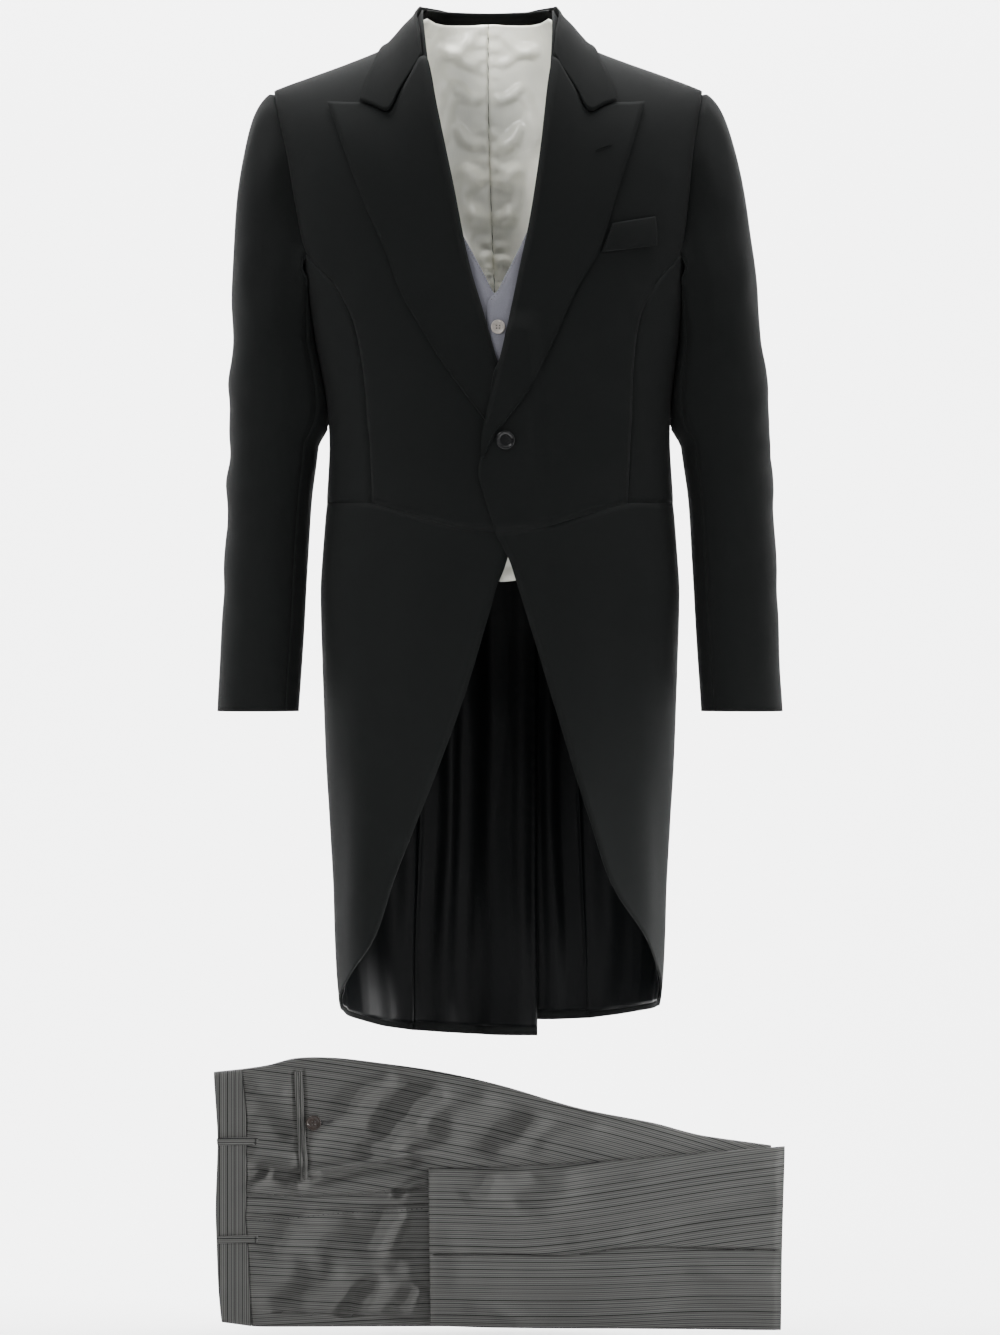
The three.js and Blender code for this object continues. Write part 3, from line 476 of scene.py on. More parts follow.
def twill_effect():
    """Fine diagonal ribs: a height, and a mask of the rib tops."""
    if "Twill" in bpy.data.node_groups:
        return bpy.data.node_groups["Twill"]
    tree, start, end = group("Twill", [("Cloth place", "NodeSocketVector", None),
                                       ("Pitch", "NodeSocketFloat", 0.0012),
                                       ("Slope", "NodeSocketFloat", 1.9)],
                             [("Height", "NodeSocketFloat"), ("Ribs", "NodeSocketFloat")])
    parts = tree.nodes.new("ShaderNodeSeparateXYZ")
    tree.links.new(start.outputs["Cloth place"], parts.inputs[0])
    lean = math_node(tree, "MULTIPLY", parts.outputs[0], start.outputs["Slope"])
    along = math_node(tree, "ADD", lean, parts.outputs[1])
    turns = math_node(tree, "DIVIDE", along, start.outputs["Pitch"])
    wave = math_node(tree, "SINE", math_node(tree, "MULTIPLY", turns, 6.2832))
    cross = math_node(tree, "DIVIDE", parts.outputs[0], start.outputs["Pitch"])
    threads = math_node(tree, "SINE", math_node(tree, "MULTIPLY", cross, 12.566))
    both = math_node(tree, "ADD", wave, math_node(tree, "MULTIPLY", threads, 0.35))
    ribs = math_node(tree, "MULTIPLY_ADD", both, 0.37)
    ribs.node.inputs[2].default_value = 0.5
    tree.links.new(ribs, end.inputs["Ribs"])
    tree.links.new(ribs, end.inputs["Height"])
    return tree


def nap_effect():
    """Uneven wool: soft patches and fine fibre specks between 0 and 1."""
    if "Nap" in bpy.data.node_groups:
        return bpy.data.node_groups["Nap"]
    tree, start, end = group("Nap", [("Place", "NodeSocketVector", None),
                                     ("Patch size", "NodeSocketFloat", 9.0),
                                     ("Fibre size", "NodeSocketFloat", 900.0)],
                             [("Patches", "NodeSocketFloat"), ("Fibres", "NodeSocketFloat")])
    for label, size, octaves in (("Patches", "Patch size", 3), ("Fibres", "Fibre size", 2)):
        noise = tree.nodes.new("ShaderNodeTexNoise")
        noise.inputs["Detail"].default_value = octaves
        tree.links.new(start.outputs["Place"], noise.inputs["Vector"])
        tree.links.new(start.outputs[size], noise.inputs["Scale"])
        tree.links.new(noise.outputs["Fac"], end.inputs[label])
    return tree


def use_effect(material, effect, links, **values):
    node = material.node_tree.nodes.new("ShaderNodeGroup")
    node.node_tree = effect
    for label, value in values.items():
        node.inputs[label.replace("_", " ")].default_value = value
    for label, source in links.items():
        material.node_tree.links.new(source, node.inputs[label])
    return node


def finish_material(name, roughness, sheen=0.0, coat=0.0, specular=0.5):
    """A material with a Principled shader whose even values sit on its own sockets."""
    material = bpy.data.materials.new(name)
    material.use_nodes = True
    shader = material.node_tree.nodes["Principled BSDF"]
    shader.inputs["Roughness"].default_value = roughness
    shader.inputs["Sheen Weight"].default_value = sheen
    shader.inputs["Sheen Roughness"].default_value = 0.5
    shader.inputs["Coat Weight"].default_value = coat
    shader.inputs["Coat Roughness"].default_value = 0.12
    shader.inputs["Specular IOR Level"].default_value = specular
    place = material.node_tree.nodes.new("ShaderNodeTexCoord")
    return material, material.node_tree, shader, place


def bump(tree, shader, height, strength, distance):
    node = tree.nodes.new("ShaderNodeBump")
    node.inputs["Strength"].default_value = strength
    node.inputs["Distance"].default_value = distance
    tree.links.new(height, node.inputs["Height"])
    tree.links.new(node.outputs["Normal"], shader.inputs["Normal"])


def scaled(colour, by):
    return tuple(min(1.0, c * by) for c in colour)


def wool(name, colour, roughness=0.86, sheen=0.006, pitch=0.0012, contrast=0.35):
    """Fine twill suiting."""
    if name in bpy.data.materials:
        return bpy.data.materials[name]
    material, tree, shader, place = finish_material(name, roughness, sheen, specular=0.075)
    twill = use_effect(material, twill_effect(), {"Cloth place": place.outputs["UV"]}, Pitch=pitch)
    nap = use_effect(material, nap_effect(), {"Place": place.outputs["Object"]})
    base = mix_colour(tree, nap.outputs["Patches"], scaled(colour, 0.86), scaled(colour, 1.16))
    ribs = mix_colour(tree, twill.outputs["Ribs"], scaled(colour, 1 - contrast),
                      scaled(colour, 1 + contrast))
    both = mix_colour(tree, 0.5, base, ribs)
    specks = math_node(tree, "POWER", nap.outputs["Fibres"], 6.0)
    tree.links.new(mix_colour(tree, specks, both, scaled(colour, 2.6)), shader.inputs["Base Color"])
    height = math_node(tree, "ADD", twill.outputs["Height"],
                       math_node(tree, "MULTIPLY", nap.outputs["Fibres"], 0.5))
    bump(tree, shader, height, 0.35, 0.0003)
    return material


def satin(name, colour, roughness, coat, pitch=0.0006, streak=0.12, specular=0.5, painted_sheen=0.12):
    """Smooth satin: fine streaks along the cloth, and a soft gloss that varies; its colour also carries
    painted sheen and shade in soft lighter and darker patches.
    """
    if name in bpy.data.materials:
        return bpy.data.materials[name]
    material, tree, shader, place = finish_material(name, roughness, 0.0, coat, specular=specular)
    stretch = tree.nodes.new("ShaderNodeMapping")
    stretch.inputs["Scale"].default_value = (1.0, 0.04, 1.0)
    tree.links.new(place.outputs["UV"], stretch.inputs["Vector"])
    threads = use_effect(material, nap_effect(), {"Place": stretch.outputs["Vector"]},
                         Patch_size=60.0, Fibre_size=1.2 / pitch)
    nap = use_effect(material, nap_effect(), {"Place": place.outputs["Object"]}, Patch_size=11.0)
    # Painted sheen and shade: soft noise patches make the satin's colour lighter and darker, standing for
    # its gloss and the shade of its wrinkles.
    cloud = math_node(tree, "MULTIPLY_ADD", nap.outputs["Patches"], 2.6)
    cloud.node.inputs[2].default_value = -0.8
    cloud.node.use_clamp = True
    shade_scale, sheen_scale = 1 - painted_sheen, 1 + 0.5 * painted_sheen
    base = mix_colour(tree, cloud, (colour[0] * shade_scale * 0.95, colour[1] * shade_scale, colour[2] * shade_scale),
                      (colour[0] * sheen_scale, colour[1] * sheen_scale * 0.98, colour[2] * sheen_scale * 0.96))
    lines = mix_colour(tree, threads.outputs["Fibres"], scaled(colour, 1 - streak),
                       scaled(colour, 1 + streak))
    tree.links.new(mix_colour(tree, 0.5, base, lines), shader.inputs["Base Color"])
    rough = math_node(tree, "MULTIPLY_ADD", nap.outputs["Patches"], 0.16)
    rough.node.inputs[2].default_value = roughness - 0.08
    tree.links.new(rough, shader.inputs["Roughness"])
    bump(tree, shader, threads.outputs["Fibres"], 0.12, 0.0002)
    return material


def morning_stripe(name, colour, gap, turned=False):
    """Striped worsted: strong dark lines, with fine dark and light ones between."""
    if name in bpy.data.materials:
        return bpy.data.materials[name]
    material, tree, shader, place = finish_material(name, 0.86, 0.01, specular=0.15)
    parts = tree.nodes.new("ShaderNodeSeparateXYZ")
    tree.links.new(place.outputs["UV"], parts.inputs[0])
    across = parts.outputs[0 if turned else 1]
    nap = use_effect(material, nap_effect(), {"Place": place.outputs["UV"]}, Patch_size=40.0,
                     Fibre_size=1400.0)
    # Each row: shift and width as shares of the spacing, and how dark or light the line is.
    lines = [(0.0, 0.25, 0.05), (0.12, 0.07, 1.35), (0.25, 0.08, 0.42), (0.38, 0.07, 1.4),
             (0.52, 0.15, 0.34), (0.65, 0.07, 1.35), (0.77, 0.08, 0.42), (0.89, 0.07, 1.35)]
    found = mix_colour(tree, nap.outputs["Patches"], scaled(colour, 0.9), scaled(colour, 1.1))
    share = math_node(tree, "DIVIDE", across, gap)
    for shift, width, tone in lines:
        at = math_node(tree, "FRACT", math_node(tree, "ADD", share, 0.5 - shift + 10))
        off = math_node(tree, "ABSOLUTE", math_node(tree, "SUBTRACT", at, 0.5))
        mask = math_node(tree, "SUBTRACT", 1.0, math_node(tree, "DIVIDE", off, width * 0.75))
        mask.node.use_clamp = True
        chance = tree.nodes.new("ShaderNodeTexWhiteNoise")
        chance.noise_dimensions = "1D"
        row = math_node(tree, "FLOOR", math_node(tree, "ADD", share, 0.5 - shift + 10))
        tree.links.new(math_node(tree, "ADD", row, shift * 7), chance.inputs["W"])
        uneven = math_node(tree, "MULTIPLY_ADD", chance.outputs["Value"], 0.9)
        uneven.node.inputs[2].default_value = 0.75
        soft = math_node(tree, "MULTIPLY", mask, uneven)
        soft.node.use_clamp = True
        found = mix_colour(tree, soft, found, scaled(colour, tone))
    specks = math_node(tree, "MULTIPLY_ADD", nap.outputs["Fibres"], 0.5)
    specks.node.inputs[2].default_value = 0.75
    shade = tree.nodes.new("ShaderNodeCombineColor")
    for k in range(3):
        tree.links.new(specks, shade.inputs[k])
    found = mix_colour(tree, 1.0, found, shade.outputs[0], "MULTIPLY")
    tree.links.new(found, shader.inputs["Base Color"])
    twill = use_effect(material, twill_effect(), {"Cloth place": place.outputs["UV"]}, Pitch=0.0011)
    bump(tree, shader, math_node(tree, "ADD", twill.outputs["Height"], nap.outputs["Fibres"]),
         0.4, 0.0003)
    return material


def button_thread():
    """Brown thread in the buttons' holes and along the waistcoat's edge."""
    return polished("Button thread", (0.02, 0.017, 0.015), 0.8, 0.1, 0.0)


def dark_thread():
    """Nearly black thread of the trousers' worked stitches."""
    return polished("Dark thread", (0.004, 0.004, 0.0045), 0.8, 0.1, 0.0, 0.1)


def polished(name, colour, roughness, mottle=0.2, coat=0.6, specular=0.5):
    """Polished button stuff with faint cloudy streaks."""
    if name in bpy.data.materials:
        return bpy.data.materials[name]
    material, tree, shader, place = finish_material(name, roughness, coat=coat,
                                                    specular=specular)
    cloud = use_effect(material, nap_effect(), {"Place": place.outputs["Object"]},
                       Patch_size=140.0, Fibre_size=700.0)
    tree.links.new(mix_colour(tree, cloud.outputs["Patches"], scaled(colour, 1 - mottle),
                              scaled(colour, 1 + mottle)), shader.inputs["Base Color"])
    bump(tree, shader, cloud.outputs["Patches"], 0.08, 0.0003)
    return material


def colours():
    return bpy.context.scene.suit_colours


def coat_cloth():
    return wool("Coat wool", tuple(colours().coat), pitch=bpy.context.scene.suit_sizes.weave_pitch)


def collar_cloth():
    return wool("Collar wool", tuple(colours().collar), roughness=0.9, sheen=0.004)


def tail_satin():
    return satin("Tail lining satin", tuple(colours().lining), 0.44, 0.0, specular=0.06)


def vest_cloth():
    return wool("Waistcoat wool", tuple(colours().vest), roughness=0.8, contrast=0.2, pitch=0.001)


def vest_satin():
    # Strong painted sheen and shade patches in the waistcoat satin's colour.
    return satin("Waistcoat satin", tuple(colours().satin), 0.27, 0.0, painted_sheen=0.8)


def stripe_cloth(turned=False):
    name = "Striped worsted, turned" if turned else "Striped worsted"
    return morning_stripe(name, tuple(colours().trouser), bpy.context.scene.suit_sizes.stripe_gap,
                          turned)


def piece_size(across, along, fine=1.0):
    per = detail() * fine / 100
    return max(4, round(across * per)), max(4, round(along * per))


def crowd(power_of):
    return lambda v: 1 - (1 - v) ** power_of


class SUIT_OT_coat_body(bpy.types.Operator):
    """Builds the coat's foreparts and side bodies"""
    bl_idname = "suit.coat_body"
    bl_label = "Coat body"

    def execute(self, context):
        wall = context.scene.suit_sizes.coat_wall
        for side, word in ((-1, "left"), (1, "right")):
            top = shoulder_line(69.5, 227, False)
            roll = [(x + 2.5, z) for x, z in ROLL[side]]
            area = to_ridge(patch(
                front_edge(EDGE[side] + roll) + [top[0]],
                front_edge(SIDE_SEAM) + front_edge(ARMHOLE_FRONT)[1:-1] + [top[-1]],
                front_edge([EDGE[side][0]] + WAIST_FRONT[::-1]), top))

            def out(at, z, u, v, side=side):
                x = across_of(at, z)
                swell = folds(x, z, FRONT_FOLDS) + unevenness(x, z, 36, 0.5, side)
                calm = ease((x - 20) / 40)
                base = lap(x, z) if side > 0 else 0
                return base + calm * swell + seam_dip(u, v, 0.012, 0.5, "rb")

            cols, rows = piece_size(230, 560)
            piece = cloth("forepart_cloth_" + word, cols, rows, on_body(area, side, out), wall,
                          coat_cloth(), outward_front, stations=crowd(1.6),
                          rests_on=["waistcoat_front_cloth_" + word])
            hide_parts("forepart_" + word)

            seam, back_seam = line(front_edge(SIDE_SEAM)), line(back_edge(BACK_SEAM))

            def panel(u, v):
                a, b = seam(v), back_seam(v)
                sag = 34 * v ** 4 * np.sin(np.pi * u ** 0.85)
                return np.stack([a[..., 0] + (b[..., 0] - a[..., 0]) * u,
                                 a[..., 1] + (b[..., 1] - a[..., 1]) * u - sag], -1)

            cols, rows = piece_size(220, 270)
            shape = on_body(panel, side, lambda at, z, u, v: unevenness(at, z, 30, 0.5, 2)
                            + seam_dip(u, v, 0.015, 0.5, "lrb"))
            piece = cloth("side_body_cloth_" + word, cols, rows, shape, wall, coat_cloth(),
                          lambda n, side=side: side * n.x, rests_on=["forepart_cloth_" + word])
            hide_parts("side_body_" + word)
        return {"FINISHED"}


def back_area(side):
    top = shoulder_line(71, 227, True)
    middle = back_edge(VENT[side] + [(0, -200), (0, 12)])
    right = (back_edge([TAIL[side][2]] + BACK_SEAM_LOW) + back_edge(BACK_SEAM)[1:]
             + back_edge(ARMHOLE_BACK)[1:-1] + [top[-1]])
    return to_ridge(patch(middle, right, back_edge(TAIL[side]),
                          [middle[-1]] + back_edge(BACK_NECK)[1:-1] + top), 0.6)


def back_fold(side, at, z):
    if side > 0:
        return np.zeros_like(z)
    return -5.6 * ease((at - 380) / 14) * ease((-446 - z) / 14)


def skirt_area(side):
    hem_low = [(157, -1019), (128, -1030)] if side < 0 else [(158, -1010), (132, -1017)]
    seam_low = back_edge([TAIL[side][2]] + BACK_SEAM_LOW)
    start, end = front_edge([SIDE_SEAM[0]])[0], back_edge([BACK_SEAM[0]])[0]
    waist = [(start[0] + (end[0] - start[0]) * k / 8, start[1] + (end[1] - start[1]) * k / 8)
             for k in range(1, 8)]
    return patch(front_edge(CUT[side]), seam_low,
                 front_edge([CUT[side][0]]) + back_edge(hem_low) + [seam_low[0]],
                 front_edge([EDGE[side][0]] + WAIST_FRONT[::-1]) + waist + [end])


def back_across(at, z):
    return form(angle_at(at), z)[..., 0]


class SUIT_OT_coat_tails(bpy.types.Operator):
    """Builds the back panels, the cutaway skirts and the satin that lines the tails"""
    bl_idname = "suit.coat_tails"
    bl_label = "Back, skirts and tails"

    def execute(self, context):
        wall = context.scene.suit_sizes.coat_wall
        for side, word in ((-1, "left"), (1, "right")):
            def back_out(at, z, u, v, side=side):
                x = back_across(at, z)
                low = ease((-500 - z) / 80)
                waves = low * 1.6 * np.sin(x / 13 + 0.6 * np.sin(z / 130 + side))
                return (back_fold(side, at, z) + folds(np.abs(x), z, BACK_FOLDS) + waves
                        + unevenness(x, z, 40, 0.6, 3 * side) + seam_dip(u, v, 0.014, 0.6, "lrt"))

            cols, rows = piece_size(170, 1060)
            piece = cloth("back_cloth_" + word, cols, rows, on_body(back_area(side), side, back_out),
                          wall, coat_cloth(), outward_back, stations=crowd(1.35))
            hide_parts("back_" + word)

            def skirt_out(at, z, u, v, side=side):
                x = across_of(at, z)
                over = lap(x, z) if side > 0 else 0
                calm = ease((-505 - z) / 60)
                drop = folds(np.where(at > SIDE, 900, x), z, SKIRT_FOLDS)
                wave = 1.3 * np.sin(at / 9 + 0.7 * np.sin(z / 140)) * ease((-640 - z) / 220)
                return over + calm * (drop + wave) + seam_dip(u, v, 0.012, 0.5, "rt")

            cols, rows = piece_size(300, 560)
            skirt = skirt_area(side)
            piece = cloth("skirt_cloth_" + word, cols, rows, on_body(skirt, side, skirt_out), wall,
                          coat_cloth(), lambda n, side=side: side * n.x)
            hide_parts("skirt_" + word)

            def lining_out(base):
                def out(at, z, u, v, side=side):
                    x = np.abs(back_across(at, z))
                    deep = folds(x, z, LINING_FOLDS) + 0.9 * np.sin(at / 5.5 + 0.8 * np.sin(z / 90))
                    pucker = 0.7 * np.sin(z / 5.2) * np.exp(-((u) / 0.06) ** 2)
                    return base(at, z, u, v) - 2.6 - np.maximum(0, deep + 0.6) - np.abs(pucker)
                return out

            cols, rows = piece_size(290, 520, 1.5)
            piece = cloth("skirt_lining_satin_" + word, cols, rows,
                          on_body(inset(skirt, 0.035, 0.0, 0.012, 0.01), side, lining_out(skirt_out)),
                          0.0007, tail_satin(), lambda n, side=side: side * n.x,
                          rests_on=["skirt_cloth_" + word])
            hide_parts("skirt_lining_" + word)
            cols, rows = piece_size(130, 540, 1.8)
            piece = cloth("back_lining_satin_" + word, cols, rows,
                          on_body(inset(back_area(side), 0.004, 0.0, 0.009, 0.49), side,
                                  lining_out(back_out)),
                          0.0007, tail_satin(), outward_back, rests_on=["back_cloth_" + word])
            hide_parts("back_lining_" + word)
        return {"FINISHED"}


class SUIT_OT_lapels(bpy.types.Operator):
    """Builds both peak lapels, rolled over the fronts, and the left one's buttonhole"""
    bl_idname = "suit.lapels"
    bl_label = "Lapels"

    def execute(self, context):
        wall = context.scene.suit_sizes.coat_wall
        for side, word in ((-1, "left"), (1, "right")):
            top = GORGE + PEAK[1:] + [LAPEL[side][-1]]
            roll = LAPEL_ROLL[side] + [top[0]]
            area = patch(front_edge(roll), front_edge(LAPEL[side]),
                         front_edge([roll[0], LAPEL[side][0]]), front_edge(top))
            by_height = [(z, x) for x, z in roll]

            def out(at, z, u, v, side=side, by_height=by_height):
                x = across_of(at, z)
                reach = x - look(by_height, z)
                belly = 4.6 * np.exp(-((reach - 9) / 24) ** 2) * ease((z + 380) / 150)
                turn = -4.5 * np.exp(-(reach / 3.0) ** 2) * ease((z + 400) / 60)
                rim = 0.7 * np.exp(-((1 - u) / 0.05) ** 2)
                base = lap(x, z) if side > 0 else 0
                wave = unevenness(x, z, 30, 0.5, side) * ease(reach / 30)
                return base + wall * 1000 + 1.5 + belly + turn + rim + wave

            cols, rows = piece_size(100, 400, 1.7)
            piece = cloth("lapel_cloth_" + word, cols, rows,
                          on_body(inset(area, 0, 0, 0, 0.004), side, out, keep=False), wall,
                          coat_cloth(), outward_front, rests_on=["forepart_cloth_" + word])
            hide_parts("lapel_" + word)
            self.pick_stitches(side, word, out)
            if side > 0:
                self.buttonhole(out)
        return {"FINISHED"}

    def pick_stitches(self, side, word, out):
        """Hand stitches sunk along the lapel's edge."""
        edge = line([(x, z) for x, z in LAPEL[side]])
        half = np.full(1, 0.97)
        runs = []
        for share in np.arange(0.02, 0.97, 0.0125):
            pair = []
            for step in (0, 0.0042):
                x, z = edge(share + step)
                at = place_of(x - 2.6, z)
                lift = float(out(np.array([at]), np.array([z]), half, np.full(1, share))[0])
                pair.append(surface_point(at, z, lift - 0.12, side))
            runs.append(pair)
        stitch_threads("lapel_stitches_" + word, runs, 0.0002, collar_cloth())

    def buttonhole(self, out):
        """A worked slit: a closed ring of thread laid on the lapel."""
        (x0, z0), (x1, z1) = (109.8, -107.3), (126.5, -101.0)
        bm = bmesh.new()
        bmesh.ops.create_grid(bm, x_segments=48, y_segments=8, size=0.5)
        flat = np.array([v.co[:2] for v in bm.verts])
        turn = (flat[:, 0] + 0.5) * 2 * math.pi
        tube = (flat[:, 1] + 0.5) * 2 * math.pi
        length = math.hypot(x1 - x0, z1 - z0) / 2
        thread = 0.42 + 0.12 * np.sin(turn * 24)
        along = np.cos(turn) * length
        across = np.sin(turn) * 0.8 + np.sign(np.sin(turn)) * 0.1
        along = along + np.cos(turn) * thread * np.cos(tube)
        across = across + np.sin(turn) * thread * np.cos(tube)
        dx, dz = (x1 - x0) / (2 * length), (z1 - z0) / (2 * length)
        x = (x0 + x1) / 2 + along * dx - across * dz
        z = (z0 + z1) / 2 + along * dz + across * dx
        at = place_of(x, z)
        angle = angle_at(at)
        share = np.full_like(x, 0.5)
        lift = out(at, z, share, share) + 0.25 + thread * np.sin(tube)
        q = (form(angle, z) + form_normal(angle, z) * lift[:, None]) * MM
        for vert, co in zip(bm.verts, q):
            vert.co = co
        bmesh.ops.translate(bm, verts=bm.verts[:], vec=(float(lean_at(-104)) * MM, 0, 0))
        bmesh.ops.remove_doubles(bm, verts=bm.verts[:], dist=0.00002)
        bmesh.ops.recalc_face_normals(bm, faces=bm.faces[:])
        mesh = bpy.data.meshes.new("lapel_buttonhole")
        bm.to_mesh(mesh)
        bm.free()
        mesh.materials.append(collar_cloth())
        piece = link("lapel_buttonhole", mesh)
        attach(piece, "root")


def level(p):
    """The body as a level: 1 on its face, more outside."""
    x = np.abs(p[..., 0])
    share = np.minimum(0.98, x / look(HALF_WIDTH, p[..., 2]))
    depth = np.where(p[..., 1] < 0, look(FRONT_DEPTH, p[..., 2]), look(BACK_DEPTH, p[..., 2]))
    depth = depth * (1 - share ** (2 / CORNER)) ** (CORNER / 2)
    t = np.maximum(0, (p[..., 2] - ARCH_START) / (look(SHOULDER, x) - ARCH_START))
    return (p[..., 1] / depth) ** 2 + t ** 3


def level_slope(p):
    parts = []
    for axis in range(3):
        d = np.zeros(3)
        d[axis] = 0.5
        parts.append(level(p + d) - level(p - d))
    return np.stack(parts, -1)


def clear_of(p, least):
    """Points moved out until they lie a stated distance outside the body."""
    for _ in range(14):
        slope = level_slope(p)
        size = np.linalg.norm(slope, axis=-1)
        away = (level(p) - 1) / size
        short = np.where(away < least - 0.01, (least - away) * 0.8, 0)
        p = p + slope / size[..., None] * short[..., None]
    return p


class SUIT_OT_collar(bpy.types.Operator):
    """Builds the collar's stand and the fall that turns down over it"""
    bl_idname = "suit.collar"
    bl_label = "Collar"

    def execute(self, context):
        wall = context.scene.suit_sizes.coat_wall
        lift = 4.2

        def front_point(x, z):
            angle = angle_at(place_of(x, z))
            return tuple(form(angle, z) + form_normal(angle, z) * lift)

        gorge = [front_point(x, z) for x, z in GORGE + PEAK[1:3]]
        crease = [gorge[0], front_point(68, 22)] + CREASE_BACK
        edge = [gorge[-1]] + [front_point(x, z) for x, z in FALL_FRONT[1:]] + FALL_BACK
        half = patch(crease, edge, gorge, [CREASE_BACK[-1], (0, 86, 50), FALL_BACK[-1]])

        def fall(u, v):
            side = np.where(v < 0.5, -1, 1)
            s = np.where(v < 0.5, 2 * v, 2 - 2 * v)
            p = half(u, s)
            soft = 2.6 * np.sin(np.pi * np.minimum(1, u * 1.02)) + 0.5 * np.exp(-((1 - u) / 0.06) ** 2)
            turn = 1.4 * np.exp(-((u - 0.03) / 0.07) ** 2)
            p = clear_of(p, lift + soft)
            slope = level_slope(p)
            p = p + slope / np.linalg.norm(slope, axis=-1, keepdims=True) * turn[..., None]
            return np.stack([side * p[..., 0] + lean_at(p[..., 2]), p[..., 1], p[..., 2]], -1)

        piece = cloth("collar_fall_cloth", *piece_size(62, 420, 1.9), fall, wall, collar_cloth(),
                      lambda n: n.z + n.y, rests_on=["back_cloth_left", "back_cloth_right"])
        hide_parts("collar_fall")

        neck = [tuple(form(angle_at(place_of(x, z, True)), z)) for x, z in BACK_NECK[::-1]]
        low_line, high_line = line(neck), line(CREASE_BACK)

        def stand(u, v):
            side = np.where(v < 0.5, -1, 1)
            s = np.where(v < 0.5, 2 * v, 2 - 2 * v)
            low = low_line(s) + np.array([0, 0, 1.5])
            high = high_line(s)
            inward = high * np.array([1, 1, 0])
            inward = inward / np.linalg.norm(inward, axis=-1, keepdims=True)
            high = high - inward * 2.2 + np.array([0, 0, -0.4])
            p = low + (high - low) * u[..., None]
            p = p + inward * (1.2 * np.sin(np.pi * u))[..., None]
            return np.stack([side * p[..., 0] + lean_at(p[..., 2]), p[..., 1], p[..., 2]], -1)

        piece = cloth("collar_stand_cloth", *piece_size(44, 240, 1.6), stand, wall, collar_cloth(),
                      outward_back, rests_on=["collar_fall_cloth"])
        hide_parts("collar_stand")
        return {"FINISHED"}


def arm_lines():
    front = line(front_edge(ARMHOLE_FRONT))(np.linspace(1, 0, 12))
    a, b = front_edge([ARMHOLE_FRONT[0]])[0], back_edge([ARMHOLE_BACK[0]])[0]
    s = np.linspace(0, 1, 12)
    under = np.stack([a[0] + (b[0] - a[0]) * s,
                      a[1] + (b[1] - a[1]) * s - 34 * np.sin(np.pi * s ** 0.85)], -1)
    behind = line(back_edge(ARMHOLE_BACK))(np.linspace(0, 1, 12))
    runs = [form(angle_at(r[:, 0]), r[:, 1]) for r in (front, under, behind)]
    tip = (runs[0][0] + runs[2][-1]) / 2
    runs[0][0] = tip
    runs[2][-1] = tip
    return [line(r) for r in runs]


def sleeve_ring(angle, z):
    a = np.radians(angle)
    near, far = look(SLEEVE_IN, z), look(SLEEVE_OUT, z)
    return np.stack([(near + far) / 2 + (far - near) / 2 * power(np.cos(a), 0.9),
                     look(SLEEVE_SWING, z) - look(SLEEVE_DEPTH, z) * power(np.sin(a), 0.9),
                     z + 0 * a], -1)


def sleeve_point(lines, angle, s):
    """A sleeve's face: angle 0 outside, 90 in front, and s from the armhole to the cuff."""
    a = angle % 360
    hole = np.where((a < 130)[..., None], lines[0](a / 130),
                    np.where((a < 232)[..., None], lines[1]((a - 130) / 102),
                             lines[2]((a - 232) / 128)))
    hole = hole + np.array([0.6, 0, 0])
    tuck = 5.0 * np.exp(-(s / 0.011) ** 2)
    up = (1 + np.cos(np.radians(angle))) / 2
    swell = np.sin(np.radians(angle))
    end = sleeve_ring(angle, -300.0 + 0 * s)
    first = hole + np.stack([2 + 28 * up, -7 * swell, -14 * (1 - up)], -1)
    last = end + np.stack([-4 * up, 0 * up, 18 + 125 * up], -1)
    t = np.clip(s / 0.4, 0, 1)[..., None]
    cap = ((1 - t) ** 3 * hole + 3 * (1 - t) ** 2 * t * first + 3 * (1 - t) * t * t * last
           + t ** 3 * end)
    cap = cap - np.stack([tuck, 0 * tuck, 0.62 * tuck * up], -1)
    low = sleeve_ring(angle, -300 - 390 * np.clip((s - 0.4) / 0.6, 0, 1))
    return np.where((s < 0.4)[..., None], cap, low)


def beside_body(p, angle):
    """The inner side of a sleeve pressed flat against the body from the armpit to the waist."""
    x, y, z = p[..., 0], p[..., 1], p[..., 2]
    depth = np.where(y < 0, look(FRONT_DEPTH, z), look(BACK_DEPTH, z))
    share = np.clip(np.abs(y) / depth, 0, 1)
    body = look(HALF_WIDTH, z) * (1 - share ** (2 / CORNER)) ** (CORNER / 2)
    inward = ease((-np.cos(np.radians(angle)) - 0.35) / 0.4)
    near = ease((-222 - z) / 16) * ease((z + 412) / 26) * inward
    pulled = np.maximum(body + 1.1, x - 9 * near)
    return np.stack([np.where(near > 0, pulled, x), y, z], -1)


